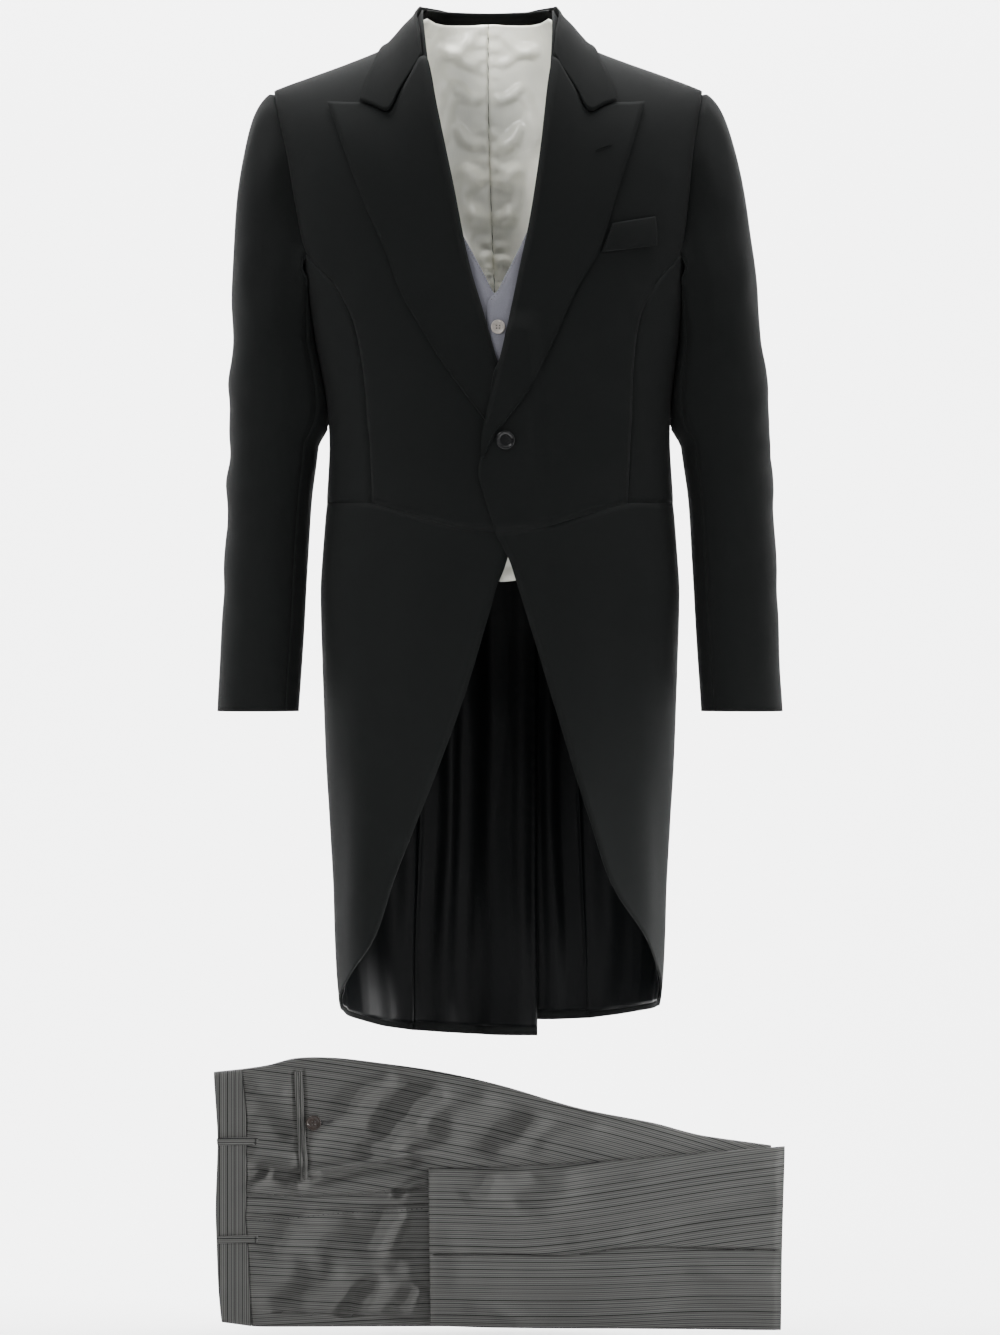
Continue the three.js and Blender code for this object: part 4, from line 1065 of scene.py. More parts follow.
class SUIT_OT_sleeves(bpy.types.Operator):
    """Builds the two-piece sleeves, creased at the elbow, open at the cuff"""
    bl_idname = "suit.sleeves"
    bl_label = "Sleeves"

    def execute(self, context):
        wall = context.scene.suit_sizes.coat_wall
        lines = arm_lines()
        for side, word in ((-1, "left"), (1, "right")):
            for part, start, end, across in (("top", -112, 131.8, 220), ("under", 131.8, 248, 110)):
                def shape(u, v, side=side, start=start, end=end):
                    angle = start + (end - start) * u
                    s = v
                    p = sleeve_point(lines, angle, s)
                    round_it = sleeve_point(lines, angle + 1, s) - sleeve_point(lines, angle - 1, s)
                    lo, hi = np.clip(s - 0.004, 0, 1), np.clip(s + 0.004, 0, 1)
                    along = sleeve_point(lines, angle, hi) - sleeve_point(lines, angle, lo)
                    n = np.cross(round_it, along)
                    n = n / np.linalg.norm(n, axis=-1, keepdims=True)
                    turned = (angle + 180) % 360 - 180
                    crease = folds(turned, p[..., 2], SLEEVE_FOLDS)
                    crease = crease + folds(-turned - 20 * side, p[..., 2] - 14, SLEEVE_FOLDS) * 0.7
                    calm = ease(s / 0.12) * ease((1 - s) / 0.05)
                    inner = 1 - 0.8 * np.exp(-((turned - 180) / 60) ** 2) - 0.8 * np.exp(
                        -((turned + 180) / 60) ** 2)
                    out = calm * inner * (crease + unevenness(turned * 0.9, p[..., 2], 30, 0.8, side))
                    head = 1.6 * np.exp(-((s - 0.05) / 0.05) ** 2) * ease((np.cos(
                        np.radians(angle)) + 0.2) / 1.0)
                    p = p - n * (out + head + seam_dip(u, v, 0.02, 0.5, "lr"))[..., None]
                    p = beside_body(p, angle)
                    return np.stack([side * p[..., 0] + lean_at(p[..., 2]), p[..., 1], p[..., 2]], -1)

                outward = side if part == "top" else -side
                piece = cloth(part + "_sleeve_cloth_" + word, *piece_size(across, 680), shape, wall,
                              coat_cloth(), lambda n, outward=outward: outward * n.x,
                              rests_on=["forepart_cloth_" + word])
                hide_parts(part + "_sleeve_" + word)
        return {"FINISHED"}


class SUIT_OT_waistcoat(bpy.types.Operator):
    """Builds the waistcoat's fronts and its puckered satin back"""
    bl_idname = "suit.waistcoat"
    bl_label = "Waistcoat"

    def execute(self, context):
        wall = context.scene.suit_sizes.vest_wall
        front_top = shoulder_line(94, 165, False)
        back_top = shoulder_line(72, 165, True)
        for side, word in ((-1, "left"), (1, "right")):
            def inner(at, z, side=side):
                out = -8 + 1.5 * ease(z / 40) - np.where(at > SIDE, 5 * ease((-440 - z) / 60), 0)
                if side > 0:
                    out = out + np.where(at > SIDE, 0, 2.6 * ease((32 - across_of(at, z)) / 12))
                return out

            seam = [(199, -505), (199, -380), (199, -280), (196, -252)]
            area = to_ridge(patch(front_edge(VEST_EDGE[side]) + [front_top[0]],
                                  seam + front_edge(VEST_ARM)[1:] + [front_top[-1]],
                                  [front_edge(VEST_EDGE[1])[0]] + front_edge([(40, -524), (110, -514)])
                                  + [(199, -505)], front_top))

            def front_out(at, z, u, v, inner=inner, side=side):
                rim = 0.5 * np.exp(-(u / 0.05) ** 2)
                return inner(at, z) + rim + unevenness(at, z, 26, 0.5, side)

            piece = cloth("waistcoat_front_cloth_" + word, *piece_size(210, 560),
                          on_body(area, side, front_out), wall, vest_cloth(), outward_front)
            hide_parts("waistcoat_front_" + word)
            self.edge_stitches(side, word, front_out)

            seam = [(201, -505), (201, -380), (201, -280), (204, -252)]
            area = to_ridge(patch(back_edge([(0, -549), (0, -200), (0, 46)]),
                                  seam + back_edge(VEST_ARM)[1:] + [back_top[-1]],
                                  [(400, -549), (300, -535), (201, -505)],
                                  back_edge([(0, 47.5), (35, 46.5), (60, 47)]) + back_top), 0.6)
            area = inset(area, 0.0008, 0, 0, 0)

            def back_out(at, z, u, v, inner=inner, side=side):
                x = np.abs(form(angle_at(at), z)[..., 0])
                near = np.exp(-((x - 5) / 9) ** 2)
                pucker = 3.6 * np.sin(z / 2.6 + 1.8 * np.sin(z / 37) + side) * near
                pucker = pucker * (0.6 + 0.4 * np.sin(z / 19))
                wave = 1.9 * folds(x, z, SATIN_FOLDS) + unevenness(x, z, 34, 4.0, 5 * side)
                groove = 0.7 * np.exp(-(x / 1.2) ** 2)
                calm = ease(u / 0.01)
                return inner(at, z) + calm * (0.6 * pucker - np.maximum(0, wave)) + groove

            piece = cloth("waistcoat_back_satin_" + word, *piece_size(210, 620, 2.2),
                          on_body(area, side, back_out), wall, vest_satin(), outward_back,
                          rests_on=["back_cloth_" + word])
            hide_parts("waistcoat_back_" + word)
        return {"FINISHED"}

    def edge_stitches(self, side, word, out):
        """Small stitches along the V of the waistcoat's front."""
        edge = line(VEST_EDGE[side])
        runs = []
        for share in np.arange(0.4, 0.99, 0.0075):
            pair = []
            for step in (0, 0.0026):
                x, z = edge(share + step)
                at = place_of(x + 1.7, z)
                lift = float(out(np.array([at]), np.array([z]), np.full(1, 0.02),
                                 np.full(1, share))[0])
                pair.append(surface_point(at, z, lift + 0.1, side))
            if -262 < z < -60:
                runs.append(pair)
        stitch_threads("waistcoat_stitches_" + word, runs, 0.00045,
                       button_thread())


def welt_out(at, z, u, v):
    roll = 1.4 * np.sin(np.pi * np.clip(v * 1.05, 0, 1)) ** 0.5
    return 2.3 + roll + 0.3 * np.sin(np.pi * u)


def turned_disc(name, material, centre, normal, radius, height, holes, hole_ring, hole_radius):
    """A turned button: rim, dished face and, on the smaller ones, four sewn holes."""
    bm = bmesh.new()
    rings, count = 44, 96
    verts = []
    for i in range(rings):
        t = i / (rings - 1)
        for k in range(count):
            a = 2 * math.pi * k / count
            if t < 0.12:
                r, h = radius * 0.86 * t / 0.12, 0.0
            elif t < 0.22:
                s = (t - 0.12) / 0.10
                r, h = radius * (0.86 + 0.14 * s), height * 0.5 * s
            elif t < 0.34:
                s = (t - 0.22) / 0.12
                r, h = radius * (1 - 0.07 * s * s), height * (0.5 + 0.5 * math.sin(s * math.pi / 2))
            elif t < 0.44:
                s = (t - 0.34) / 0.10
                r, h = radius * (0.93 - 0.17 * s), height * (1 - 0.02 * s)
            else:
                s = (t - 0.44) / 0.56
                r = radius * 0.76 * (1 - s)
                h = height * (0.98 - 0.34 * ease(s / 0.16) + 0.05 * s)
            x, y = r * math.cos(a), r * math.sin(a)
            if holes and t > 0.44:
                for hx, hy in ((1, 1), (1, -1), (-1, 1), (-1, -1)):
                    d = math.hypot(x - hx * hole_ring, y - hy * hole_ring) / hole_radius
                    h -= height * 0.5 * (1 - float(ease((d - 0.75) / 0.4)))
            verts.append(bm.verts.new((x, y, h)))
    for i in range(rings - 1):
        for k in range(count):
            a, b = i * count + k, i * count + (k + 1) % count
            bm.faces.new((verts[a], verts[b], verts[b + count], verts[a + count]))
    bmesh.ops.remove_doubles(bm, verts=bm.verts[:], dist=0.000001)
    bmesh.ops.recalc_face_normals(bm, faces=bm.faces[:])
    turn = Vector((0, 0, 1)).rotation_difference(Vector(normal))
    for vert in bm.verts:
        vert.co = turn @ vert.co + Vector(centre)
    for face in bm.faces:
        face.smooth = True
    mesh = bpy.data.meshes.new(name)
    bm.to_mesh(mesh)
    bm.free()
    mesh.materials.append(material)
    piece = link(name, mesh)
    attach(piece, "root")
    return piece


def stitch_threads(name, points, radius, material):
    """Short runs of thread, each a closed rounded rod between two points."""
    bm = bmesh.new()
    for a, b in points:
        a, b = Vector(a), Vector(b)
        axis = b - a
        made = bmesh.ops.create_icosphere(bm, subdivisions=2, radius=1.0)["verts"]
        turn = Vector((0, 0, 1)).rotation_difference(axis.normalized())
        for vert in made:
            local = Vector((vert.co.x * radius, vert.co.y * radius, vert.co.z * axis.length / 2))
            vert.co = turn @ local + (a + b) / 2
    for face in bm.faces:
        face.smooth = True
    mesh = bpy.data.meshes.new(name)
    bm.to_mesh(mesh)
    bm.free()
    mesh.materials.append(material)
    piece = link(name, mesh)
    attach(piece, "root")
    return piece


def surface_point(at, z, out, side):
    """A point a stated distance off the body, in metres."""
    angle = angle_at(at)
    p = form(angle, z) + form_normal(angle, z) * out
    return Vector(((side * float(p[0]) + float(lean_at(p[2]))) * MM, float(p[1]) * MM,
                   float(p[2]) * MM))


def body_point(x, z, out):
    angle = angle_at(place_of(x, z))
    p = form(angle, z) + form_normal(angle, z) * out
    return Vector(((float(p[0]) + float(lean_at(p[2]))) * MM, float(p[1]) * MM, float(p[2]) * MM))


class SUIT_OT_fastenings(bpy.types.Operator):
    """Builds the breast pocket's welt and the coat's and waistcoat's buttons"""
    bl_idname = "suit.fastenings"
    bl_label = "Welt and buttons"

    def execute(self, context):
        sizes = context.scene.suit_sizes
        area = patch(front_edge([(112, -213), (124.5, -182)]),
                     front_edge([(170, -203.5), (169.5, -173)]),
                     front_edge([(112, -213), (170, -203.5)]),
                     front_edge([(124.5, -182), (169.5, -173)]))
        piece = cloth("breast_welt_cloth", *piece_size(58, 32, 3), on_body(area, 1, welt_out), 0.0016,
                      coat_cloth(), outward_front, rests_on=["forepart_cloth_right"])
        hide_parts("breast_welt")

        for name, node, x, z, out, radius, high, holes, look_of in (
                ("coat_button_turned", "coat_button", 6, -408, 6.5, sizes.coat_button / 2, 0.0036,
                 False, polished("Black button polish", (0.0015, 0.0015, 0.0016), 0.16, 0.1, 0.12, 0.22)),
                ("waistcoat_button_turned", "waistcoat_button", 1.6, -290.4, -4.9,
                 sizes.vest_button / 2, 0.0026, True,
                 polished("Grey pearl", (0.17, 0.155, 0.14), 0.3, 0.45, 0.1, 0.35))):
            angle = angle_at(place_of(x, z))
            normal = form_normal(angle, z)
            piece = turned_disc(name, look_of, body_point(x, z, out),
                                [float(c) for c in normal], radius, high, holes, radius * 0.2,
                                radius * 0.1)
            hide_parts(node)
        centre = body_point(1.6, -290.4, -4.9 + 2.1)
        r = sizes.vest_button / 2 * 0.2
        runs = []
        for dx, dz in ((-r, -r), (-r, r), (r, -r), (r, r)):
            hole = centre + Vector((dx, 0, dz))
            runs.append((hole - Vector((0, 0, 0.0006)), hole + Vector((0, 0, 0.0006))))
        stitch_threads("waistcoat_button_thread", runs, 0.0006,
                       button_thread())
        return {"FINISHED"}


# The trousers, folded flat under the tails: distance x, height z, in millimetres.
TROUSER_TOP = [(-260.8, -1069.5), (-234.3, -1065.5), (-203.5, -1058), (-163.3, -1057.6),
               (-123, -1062), (-54.1, -1071.8), (12.7, -1086.6), (96.4, -1111), (177, -1127),
               (212, -1136.5), (231, -1140.6), (300, -1150.3)]
TROUSER_LOW = [(-250.2, -1342), (-236.4, -1342.5), (-61.5, -1342), (12.7, -1342), (300, -1338)]
BAND_EDGE = [(-290.5, -1072.6), (-288.3, -1105.6), (-286.2, -1143.7), (-288.3, -1214.8),
             (-287.3, -1251.9), (-285.2, -1302.7), (-282, -1337.7)]
BAND_SEAM = [(-260.8, -1069.5), (-256.5, -1105.6), (-255.5, -1201), (-256.5, -1227.5),
             (-254.4, -1254), (-250.2, -1342)]
HEM_EDGE = [(-63, -1173.5), (-62.6, -1221), (-61, -1339.8)]
LEG_TOP = [(-63, -1173.5), (14.8, -1172.3), (96.4, -1168), (177, -1161.7), (225.8, -1157.5),
           (313.7, -1150)]
KNEE = [(313.7, -1150), (310.6, -1255), (309.5, -1344)]
LEG_LOW = [(-61, -1339.8), (12.7, -1342), (150, -1343), (309.5, -1344)]
SIDE_SEAM_LINE = [(-255.5, -1203), (-163, -1202), (-66, -1195)]
POCKET_LINE = [(-255.3, -1225), (-163, -1217), (-66, -1211)]
LOWER_STRIP = [(-230, -1326), (-63, -1333)]
LEG_SEAM = [(-59, -1264), (14.8, -1264), (82, -1265), (150, -1257), (309, -1259)]
SCOOP = [(-54, -1092), (-130, -1108), (-176, -1120)]

# Creases of the folded trousers: start x, z, end x, z, width, height.
UPPER_FOLDS = [
    (-106, -1074, -150, -1112, 11, 3.2), (-150, -1112, -196, -1156, 10, 2.2),
    (-86, -1078, -128, -1128, 10, -2.6), (-50, -1086, -84, -1126, 12, 3.4),
    (-84, -1126, -124, -1158, 11, 3.0), (-50, -1128, -92, -1160, 11, -2.4),
    (-66, -1156, -186, -1176, 5, 3.0), (-74, -1165, -190, -1186, 6, -3.4),
    (-62, -1182, -94, -1202, 5, 2.6), (-66, -1190, -100, -1200, 4, -2.4),
    (-180, -1178, -206, -1190, 7, 2.8), (-200, -1166, -252, -1150, 12, 2.2),
    (-196, -1180, -250, -1176, 8, -3.0), (-228, -1176, -250, -1196, 5, 2.8),
    (-252, -1112, -210, -1136, 14, -2.6), (-250, -1088, -214, -1098, 10, 2.2),
    (0, -1092, -44, -1130, 14, 2.4), (34, -1110, -30, -1150, 12, -2.2),
    (60, -1122, 6, -1160, 10, 2.4), (120, -1126, 50, -1150, 10, 1.6),
    (-92, -1216, -130, -1262, 14, 2.8), (-76, -1228, -112, -1290, 12, -2.6),
    (-150, -1226, -186, -1270, 16, -2.2), (-186, -1222, -232, -1262, 15, 2.6),
    (-92, -1270, -140, -1322, 13, 3.0), (-124, -1290, -160, -1330, 9, -3.0),
    (-196, -1276, -236, -1320, 14, -2.4), (-158, -1280, -200, -1318, 12, 2.2),
    (-72, -1300, -96, -1324, 9, 2.6), (-120, -1072, -70, -1084, 9, -1.2),
]
LOWER_FOLDS = [
    (300, -1170, 150, -1186, 12, 1.8), (304, -1204, 190, -1230, 12, -1.5),
    (10, -1180, -20, -1206, 14, 1.8), (50, -1176, 26, -1214, 14, -1.6),
    (92, -1176, 60, -1222, 16, 1.5), (306, -1290, 220, -1282, 10, 1.3),
    (-40, -1236, -30, -1300, 14, 1.0), (200, -1306, 80, -1330, 12, 1.4),
    (290, -1324, 180, -1316, 9, -1.2), (150, -1240, 90, -1250, 10, 1.2),
    (-20, -1316, 40, -1334, 8, 1.4), (130, -1270, 20, -1300, 18, -1.0),
]


# The jetted pocket's near edge: height z, distance x.
POCKET_MOUTH = [(-1187, -198), (-1150, -200.5), (-1110, -203), (-1071, -205.3)]


def trouser_depth(x, z, full):
    edge = np.minimum(look(TROUSER_TOP, x) - z, z - look(TROUSER_LOW, x))
    t = np.clip(edge / 26, 0, 1)
    return 3 + (full - 3) * np.sqrt(1 - (1 - t) ** 2)


def groove(x, z, points, width, depth):
    """A soft line sunk along a seam given by its points from left to right."""
    pts = sorted(points)
    inside = ease((x - pts[0][0] + 2) / 4) * ease((pts[-1][0] + 2 - x) / 4)
    return -depth * np.exp(-((z - look(pts, x)) / width) ** 2) * inside


def upper_relief(x, z):
    """How far the upper leg's creases, seams and pocket stand off its face, in millimetres."""
    out = 3.0 * folds(x, z, UPPER_FOLDS) + unevenness(x, z, 34, 0.9, 2)
    out = out + groove(x, z, SIDE_SEAM_LINE, 1.5, 4.0) + groove(x, z, POCKET_LINE, 1.2, 3.4)
    out = out + groove(x, z, LOWER_STRIP, 1.5, 3.4) + groove(x, z, SCOOP, 2.4, 1.0)
    pucker = np.sin(x / 2.6) * np.exp(-((z + 1221) / 4) ** 2) * ease((-90 - x) / 30)
    near_band = np.sin(z / 6.5 + 2 * np.sin(z / 31)) * np.exp(-((x + 256) / 14) ** 2)
    mouth = look(POCKET_MOUTH, z)
    slit = np.exp(-((x - mouth + 0.9) / 1.5) ** 2) + np.exp(-((x - mouth - 9.5) / 1.5) ** 2)
    slit = 2.4 * slit * ease((z + 1190) / 4) * ease((-1068 - z) / 4)
    return out + 0.45 * pucker + 0.8 * near_band - slit


def lower_relief(x, z):
    """The same for the lower leg: creases, seam and hem."""
    out = 2.6 * folds(x, z, LOWER_FOLDS) + unevenness(x, z, 36, 0.9, 4)
    above = 1.5 * ease((z - look(sorted(LEG_SEAM), x)) / 3)
    hem = 0.7 * np.exp(-((x + 61) / 4) ** 2)
    return out + above + groove(x, z, LEG_SEAM, 1.3, 3.6) + hem


def upper_stripes(x, z):
    """Where a point lies between the stripes of the upper leg, which run with its top edge."""
    seam = look(SIDE_SEAM_LINE, x)
    above = z + 0.10 * (x + 255) + 0.0002 * (x + 255) ** 2
    below = z + 2.5 * np.sin((x + 200) / 46) + 0.02 * (x + 255)
    strip = z - 0.05 * x
    low = look(LOWER_STRIP, x)
    return np.where(z > seam, above, np.where(z > low, below, strip))


def lower_stripes(x, z):
    """The same on the lower leg: level under its seam, and rising to the knee above it."""
    rise = 0.15 * np.maximum(0, x - 20) ** 2 / (np.maximum(0, x - 20) + 60)
    wave = 1.6 * np.sin(x / 52)
    return np.where(z > look(sorted(LEG_SEAM), x), z - rise, z - 0.012 * x) + wave


def band_stripes(x, z):
    return x - look(BAND_SEAM, z)


def slab_cloth(name, area, front, back, cols, rows, material, stripes,
               turned=False):
    """A folded sheet: its front face, rounded over every edge onto its back face."""
    bm = bmesh.new()
    bm.loops.layers.uv.new("UVMap")
    bmesh.ops.create_grid(bm, x_segments=cols, y_segments=rows, size=0.5, calc_uvs=True)
    bmesh.ops.translate(bm, verts=bm.verts[:], vec=(0.5, 0.5, 0))
    other = bmesh.ops.duplicate(bm, geom=bm.verts[:] + bm.edges[:] + bm.faces[:])["geom"]
    behind = [g for g in other if isinstance(g, bmesh.types.BMVert)]
    bmesh.ops.reverse_faces(bm, faces=[g for g in other if isinstance(g, bmesh.types.BMFace)])
    back_set = set(behind)
    place = {}
    for group_of, depth in (([v for v in bm.verts if v not in back_set], front), (behind, back)):
        flat = np.clip(np.array([v.co[:2] for v in group_of]), 0, 1)
        u, v = flat[:, 0], flat[:, 1]
        p = area(u, v)
        x, z = p[..., 0], p[..., 1]
        y = depth(x, z, u, v)
        across = stripes(x, z) * MM
        for vert, a, b, c, d in zip(group_of, x * MM, y * MM, z * MM, across):
            vert.co = (a, b, c)
            place[vert] = (d, c) if turned else (a, d)
    open_edges = [e for e in bm.edges if len(e.link_faces) == 1]
    bmesh.ops.bridge_loops(bm, edges=open_edges)
    uv = bm.loops.layers.uv.active
    for face in bm.faces:
        face.smooth = True
        for loop in face.loops:
            loop[uv].uv = place[loop.vert]
    bmesh.ops.recalc_face_normals(bm, faces=bm.faces[:])
    area_m2 = sum(face.calc_area() for face in bm.faces) / 2
    mesh = bpy.data.meshes.new(name)
    bm.to_mesh(mesh)
    bm.free()
    mesh.materials.append(material)
    piece = link(name, mesh)
    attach(piece, "root")
    return piece


# The upper leg's depth each way from its middle, as in its solid, in millimetres.
UPPER_LEG_DEPTH = 12
# The hidden back is shallower than the solid's, only to stay under the sheet's thickness limit.
HIDDEN_BACK_SHARE = 0.75


class SUIT_OT_trousers(bpy.types.Operator):
    """Builds the folded trousers: upper leg, waistband and the lower leg folded over"""
    bl_idname = "suit.trousers"
    bl_label = "Trousers"

    def execute(self, context):
        fine = detail() / 10
        upper = inset(patch(BAND_SEAM[::-1], [(300, -1338), (300, -1150.3)], TROUSER_LOW,
                            TROUSER_TOP), 0.0005, 0, 0, 0)

        def upper_front(x, z, u, v):
            calm = ease(np.minimum(v, 1 - v) / 0.06) * ease((1 - u) / 0.03)
            hidden = ease((-45 - x) / 14) + ease((z - look(LEG_TOP, x) + 4) / 8)
            relief = np.clip(upper_relief(x, z) * calm, -7, 7)
            return -trouser_depth(x, z, 12) - relief * np.clip(hidden, 0, 1)

        piece = slab_cloth("trouser_upper_leg_cloth", upper, upper_front,
                           lambda x, z, u, v: HIDDEN_BACK_SHARE * trouser_depth(x, z, UPPER_LEG_DEPTH),
                           round(192 * fine), round(98 * fine), stripe_cloth(),
                           upper_stripes)
        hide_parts("trouser_upper_leg")

        band = inset(patch(BAND_EDGE[::-1], BAND_SEAM[::-1], [BAND_EDGE[-1], BAND_SEAM[-1]],
                           [BAND_EDGE[0], BAND_SEAM[0]]), 0, 0.01, 0, 0)

        def band_front(x, z, u, v):
            end = np.minimum(v, 1 - v)
            t = np.sqrt(np.clip(1 - (1 - np.clip(end / 0.05, 0, 1)) ** 2, 0, 1))
            rim = 0.82 + 0.18 * ease(u / 0.06)
            wave = unevenness(x * 2, z, 40, 0.5, 7) + 0.4 * np.exp(-((1 - u) / 0.08) ** 2)
            return -(3 + 10 * t) * rim - np.clip(wave, -0.7, 1.0) * t

        piece = slab_cloth("waistband_cloth", band, band_front,
                           lambda x, z, u, v: -band_front(x, z, u, v), round(24 * fine) + 4,
                           round(190 * fine), stripe_cloth(True), band_stripes,
                           turned=True)
        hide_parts("waistband")

        lower = patch(HEM_EDGE[::-1], KNEE[::-1], LEG_LOW, LEG_TOP)

        def lower_front(x, z, u, v):
            rim = np.clip(np.minimum(v, 1 - v) / 0.12, 0, 1)
            round_it = np.sqrt(1 - (1 - rim) ** 2)
            knee = 4 * ease((u - 0.7) / 0.3) * (1 - 0.45 * ease((u - 0.975) / 0.025))
            calm = ease(np.minimum(v, 1 - v) / 0.05) * ease((1 - u) / 0.03)
            return -(12.8 + 3 + 5 * round_it + knee) - np.clip(lower_relief(x, z) * calm, -5, 5)

        piece = slab_cloth("trouser_lower_leg_cloth", lower, lower_front,
                           lambda x, z, u, v: -12.35 + 0 * x, round(190 * fine), round(98 * fine),
                           stripe_cloth(), lower_stripes)
        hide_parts("trouser_lower_leg")
        return {"FINISHED"}


def upper_face(x, z):
    """How far forward the trousers' upper leg lies at a point, in millimetres."""
    x, z = np.asarray(x, float), np.asarray(z, float)
    return -trouser_depth(x, z, 12) - np.clip(upper_relief(x, z), -7, 7)


# Rings along a strap, and points round each ring.
STRAP_RINGS = 60
STRAP_ROUND = 16


def strap(name, points, width, thick, material, node=None):
    """A narrow folded band of cloth laid along points given as x, y, z in millimetres."""
    bm = bmesh.new()
    path = line(points)
    rows = []
    for i in range(STRAP_RINGS + 1):
        t = i / STRAP_RINGS
        p = path(np.array(t))
        q = path(np.array(min(1, t + 0.01))) - path(np.array(max(0, t - 0.01)))
        along = Vector([float(c) for c in q]).normalized()
        out = Vector((0, -1, 0))
        side = along.cross(out).normalized()
        row = []
        for k in range(STRAP_ROUND):
            a = 2 * math.pi * k / STRAP_ROUND
            c, s = math.cos(a), math.sin(a)
            c = math.copysign(abs(c) ** 0.35, c) * width / 2
            s = math.copysign(abs(s) ** 0.7, s) * thick / 2
            end = 1 - 0.35 * (max(0, 1 - min(t, 1 - t) / 0.02)) ** 2
            co = Vector([float(n) for n in p]) + side * c * end + out * s * end
            row.append(bm.verts.new(co * MM))
        rows.append(row)
    for a, b in zip(rows, rows[1:]):
        for k in range(STRAP_ROUND):
            after = (k + 1) % STRAP_ROUND
            bm.faces.new((a[k], a[after], b[after], b[k]))
    bm.faces.new(rows[0])
    bm.faces.new(rows[-1][::-1])
    bmesh.ops.recalc_face_normals(bm, faces=bm.faces[:])
    uv = bm.loops.layers.uv.new("UVMap")
    for face in bm.faces:
        face.smooth = len(face.verts) == 4
        for loop in face.loops:
            loop[uv].uv = (loop.vert.co.x, loop.vert.co.z)
    mesh = bpy.data.meshes.new(name)
    bm.to_mesh(mesh)
    bm.free()
    mesh.materials.append(material)
    piece = link(name, mesh)
    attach(piece, "root")
    if node:
        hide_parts(node)
    return piece


class SUIT_OT_trouser_details(bpy.types.Operator):
    """Builds the belt loops, the jetted pocket with its button, and the worked stitches"""
    bl_idname = "suit.trouser_details"
    bl_label = "Trouser details"

    def execute(self, context):
        for word, z in (("upper", -1145.0), ("lower", -1248.6)):
            points = [(-286.6, -14.3, z - 0.6), (-284, -15.0, z - 0.4), (-268, -15.1, z + 0.2),
                      (-250, -15.1, z + 0.4), (-245, -14.6, z + 0.2), (-243.2, -14.2, z)]
            piece = strap("belt_loop_cloth_" + word, points, 8.0, 2.2, stripe_cloth(),
                          "belt_loop_" + word)
            tacks = [(Vector((-245.6, -16.4, z + k)) * MM, Vector((-245.6, -16.4, z + k + 1.1)) * MM)
                     for k in (-3.6, -2.4, -1.2, 0.0, 1.2, 2.4)]
            stitch_threads("bar_tack_" + word, tacks, 0.00065,
                           dark_thread())

        z = np.linspace(-1071.5, -1186, 24)
        for word, dx in (("left", 0.0), ("right", 4.6)):
            x = look(POCKET_MOUTH, z) + dx + 2
            y = upper_face(x, z) - 0.5
            piece = strap("pocket_jet_cloth_" + word, list(zip(x, y, z)), 4.2, 2.0,
                          stripe_cloth(True), "pocket_jet_" + word)

        at_x, at_z = -184.5, -1125.4
        face = float(upper_face(at_x, at_z))
        brown = polished("Brown horn", (0.0075, 0.0048, 0.0036), 0.32, 0.5, 0.05, 0.16)
        piece = turned_disc("pocket_button_turned", brown,
                            Vector((at_x, face - 1.3, at_z)) * MM, (0, -1, 0), 0.008, 0.0028, True,
                            0.0016, 0.0008)
        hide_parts("pocket_button")
        y = face - 3.7
        runs = [(Vector((at_x + a * 1.6, y, at_z + b * 1.6 - 0.6)) * MM,
                 Vector((at_x + a * 1.6, y, at_z + b * 1.6 + 0.6)) * MM)
                for a in (-1, 1) for b in (-1, 1)]
        stitch_threads("pocket_button_thread", runs, 0.0006,
                       button_thread())
        self.buttonhole()
        self.pick_stitches()
        return {"FINISHED"}

    def buttonhole(self):
        """The worked slit that the pocket's button is passed through."""
        runs = []
        for k in range(15):
            x = -176.5 + 0.9 * k
            z = -1125.0 + 0.12 * k
            for s in (-1, 1):
                y = float(upper_face(x, z + s)) - 0.25
                runs.append((Vector((x, y, z + 0.25 * s)) * MM, Vector((x, y, z + 1.5 * s)) * MM))
        stitch_threads("pocket_buttonhole", runs, 0.00034,
                       dark_thread())

    def pick_stitches(self):
        """Hand stitches along the side pocket's edge."""
        runs = []
        for x in np.arange(-248, -70, 5.2):
            z = float(look(POCKET_LINE, x)) - 5
            y = float(upper_face(x, z)) - 0.1
            runs.append((Vector((x, y, z)) * MM, Vector((x + 2.2, y, z + 0.1)) * MM))
        stitch_threads("pocket_pick_stitches", runs, 0.00032,
                       dark_thread())


def lamp(name, place, aim, size, energy, tint=(1, 1, 1)):
    data = bpy.data.lights.new(name, "AREA")
    data.shape = "RECTANGLE"
    data.size, data.size_y = size
    data.energy = energy
    data.color = tint
    lamp_object = bpy.data.objects.new(name, data)
    bpy.context.scene.collection.objects.link(lamp_object)
    lamp_object.location = place
    lamp_object.rotation_euler = (Vector(aim) - Vector(place)).to_track_quat("-Z", "Y").to_euler()
    return lamp_object


def see_through_behind(paper):
    """The paper shows from its front and lets a view from behind pass."""
    nodes, links = paper.node_tree.nodes, paper.node_tree.links
    side = nodes.new("ShaderNodeNewGeometry")
    clear = nodes.new("ShaderNodeBsdfTransparent")
    choose = nodes.new("ShaderNodeMixShader")
    links.new(side.outputs["Backfacing"], choose.inputs["Fac"])
    links.new(nodes["Principled BSDF"].outputs["BSDF"], choose.inputs[1])
    links.new(clear.outputs["BSDF"], choose.inputs[2])
    links.new(choose.outputs["Shader"], nodes["Material Output"].inputs["Surface"])
    return paper


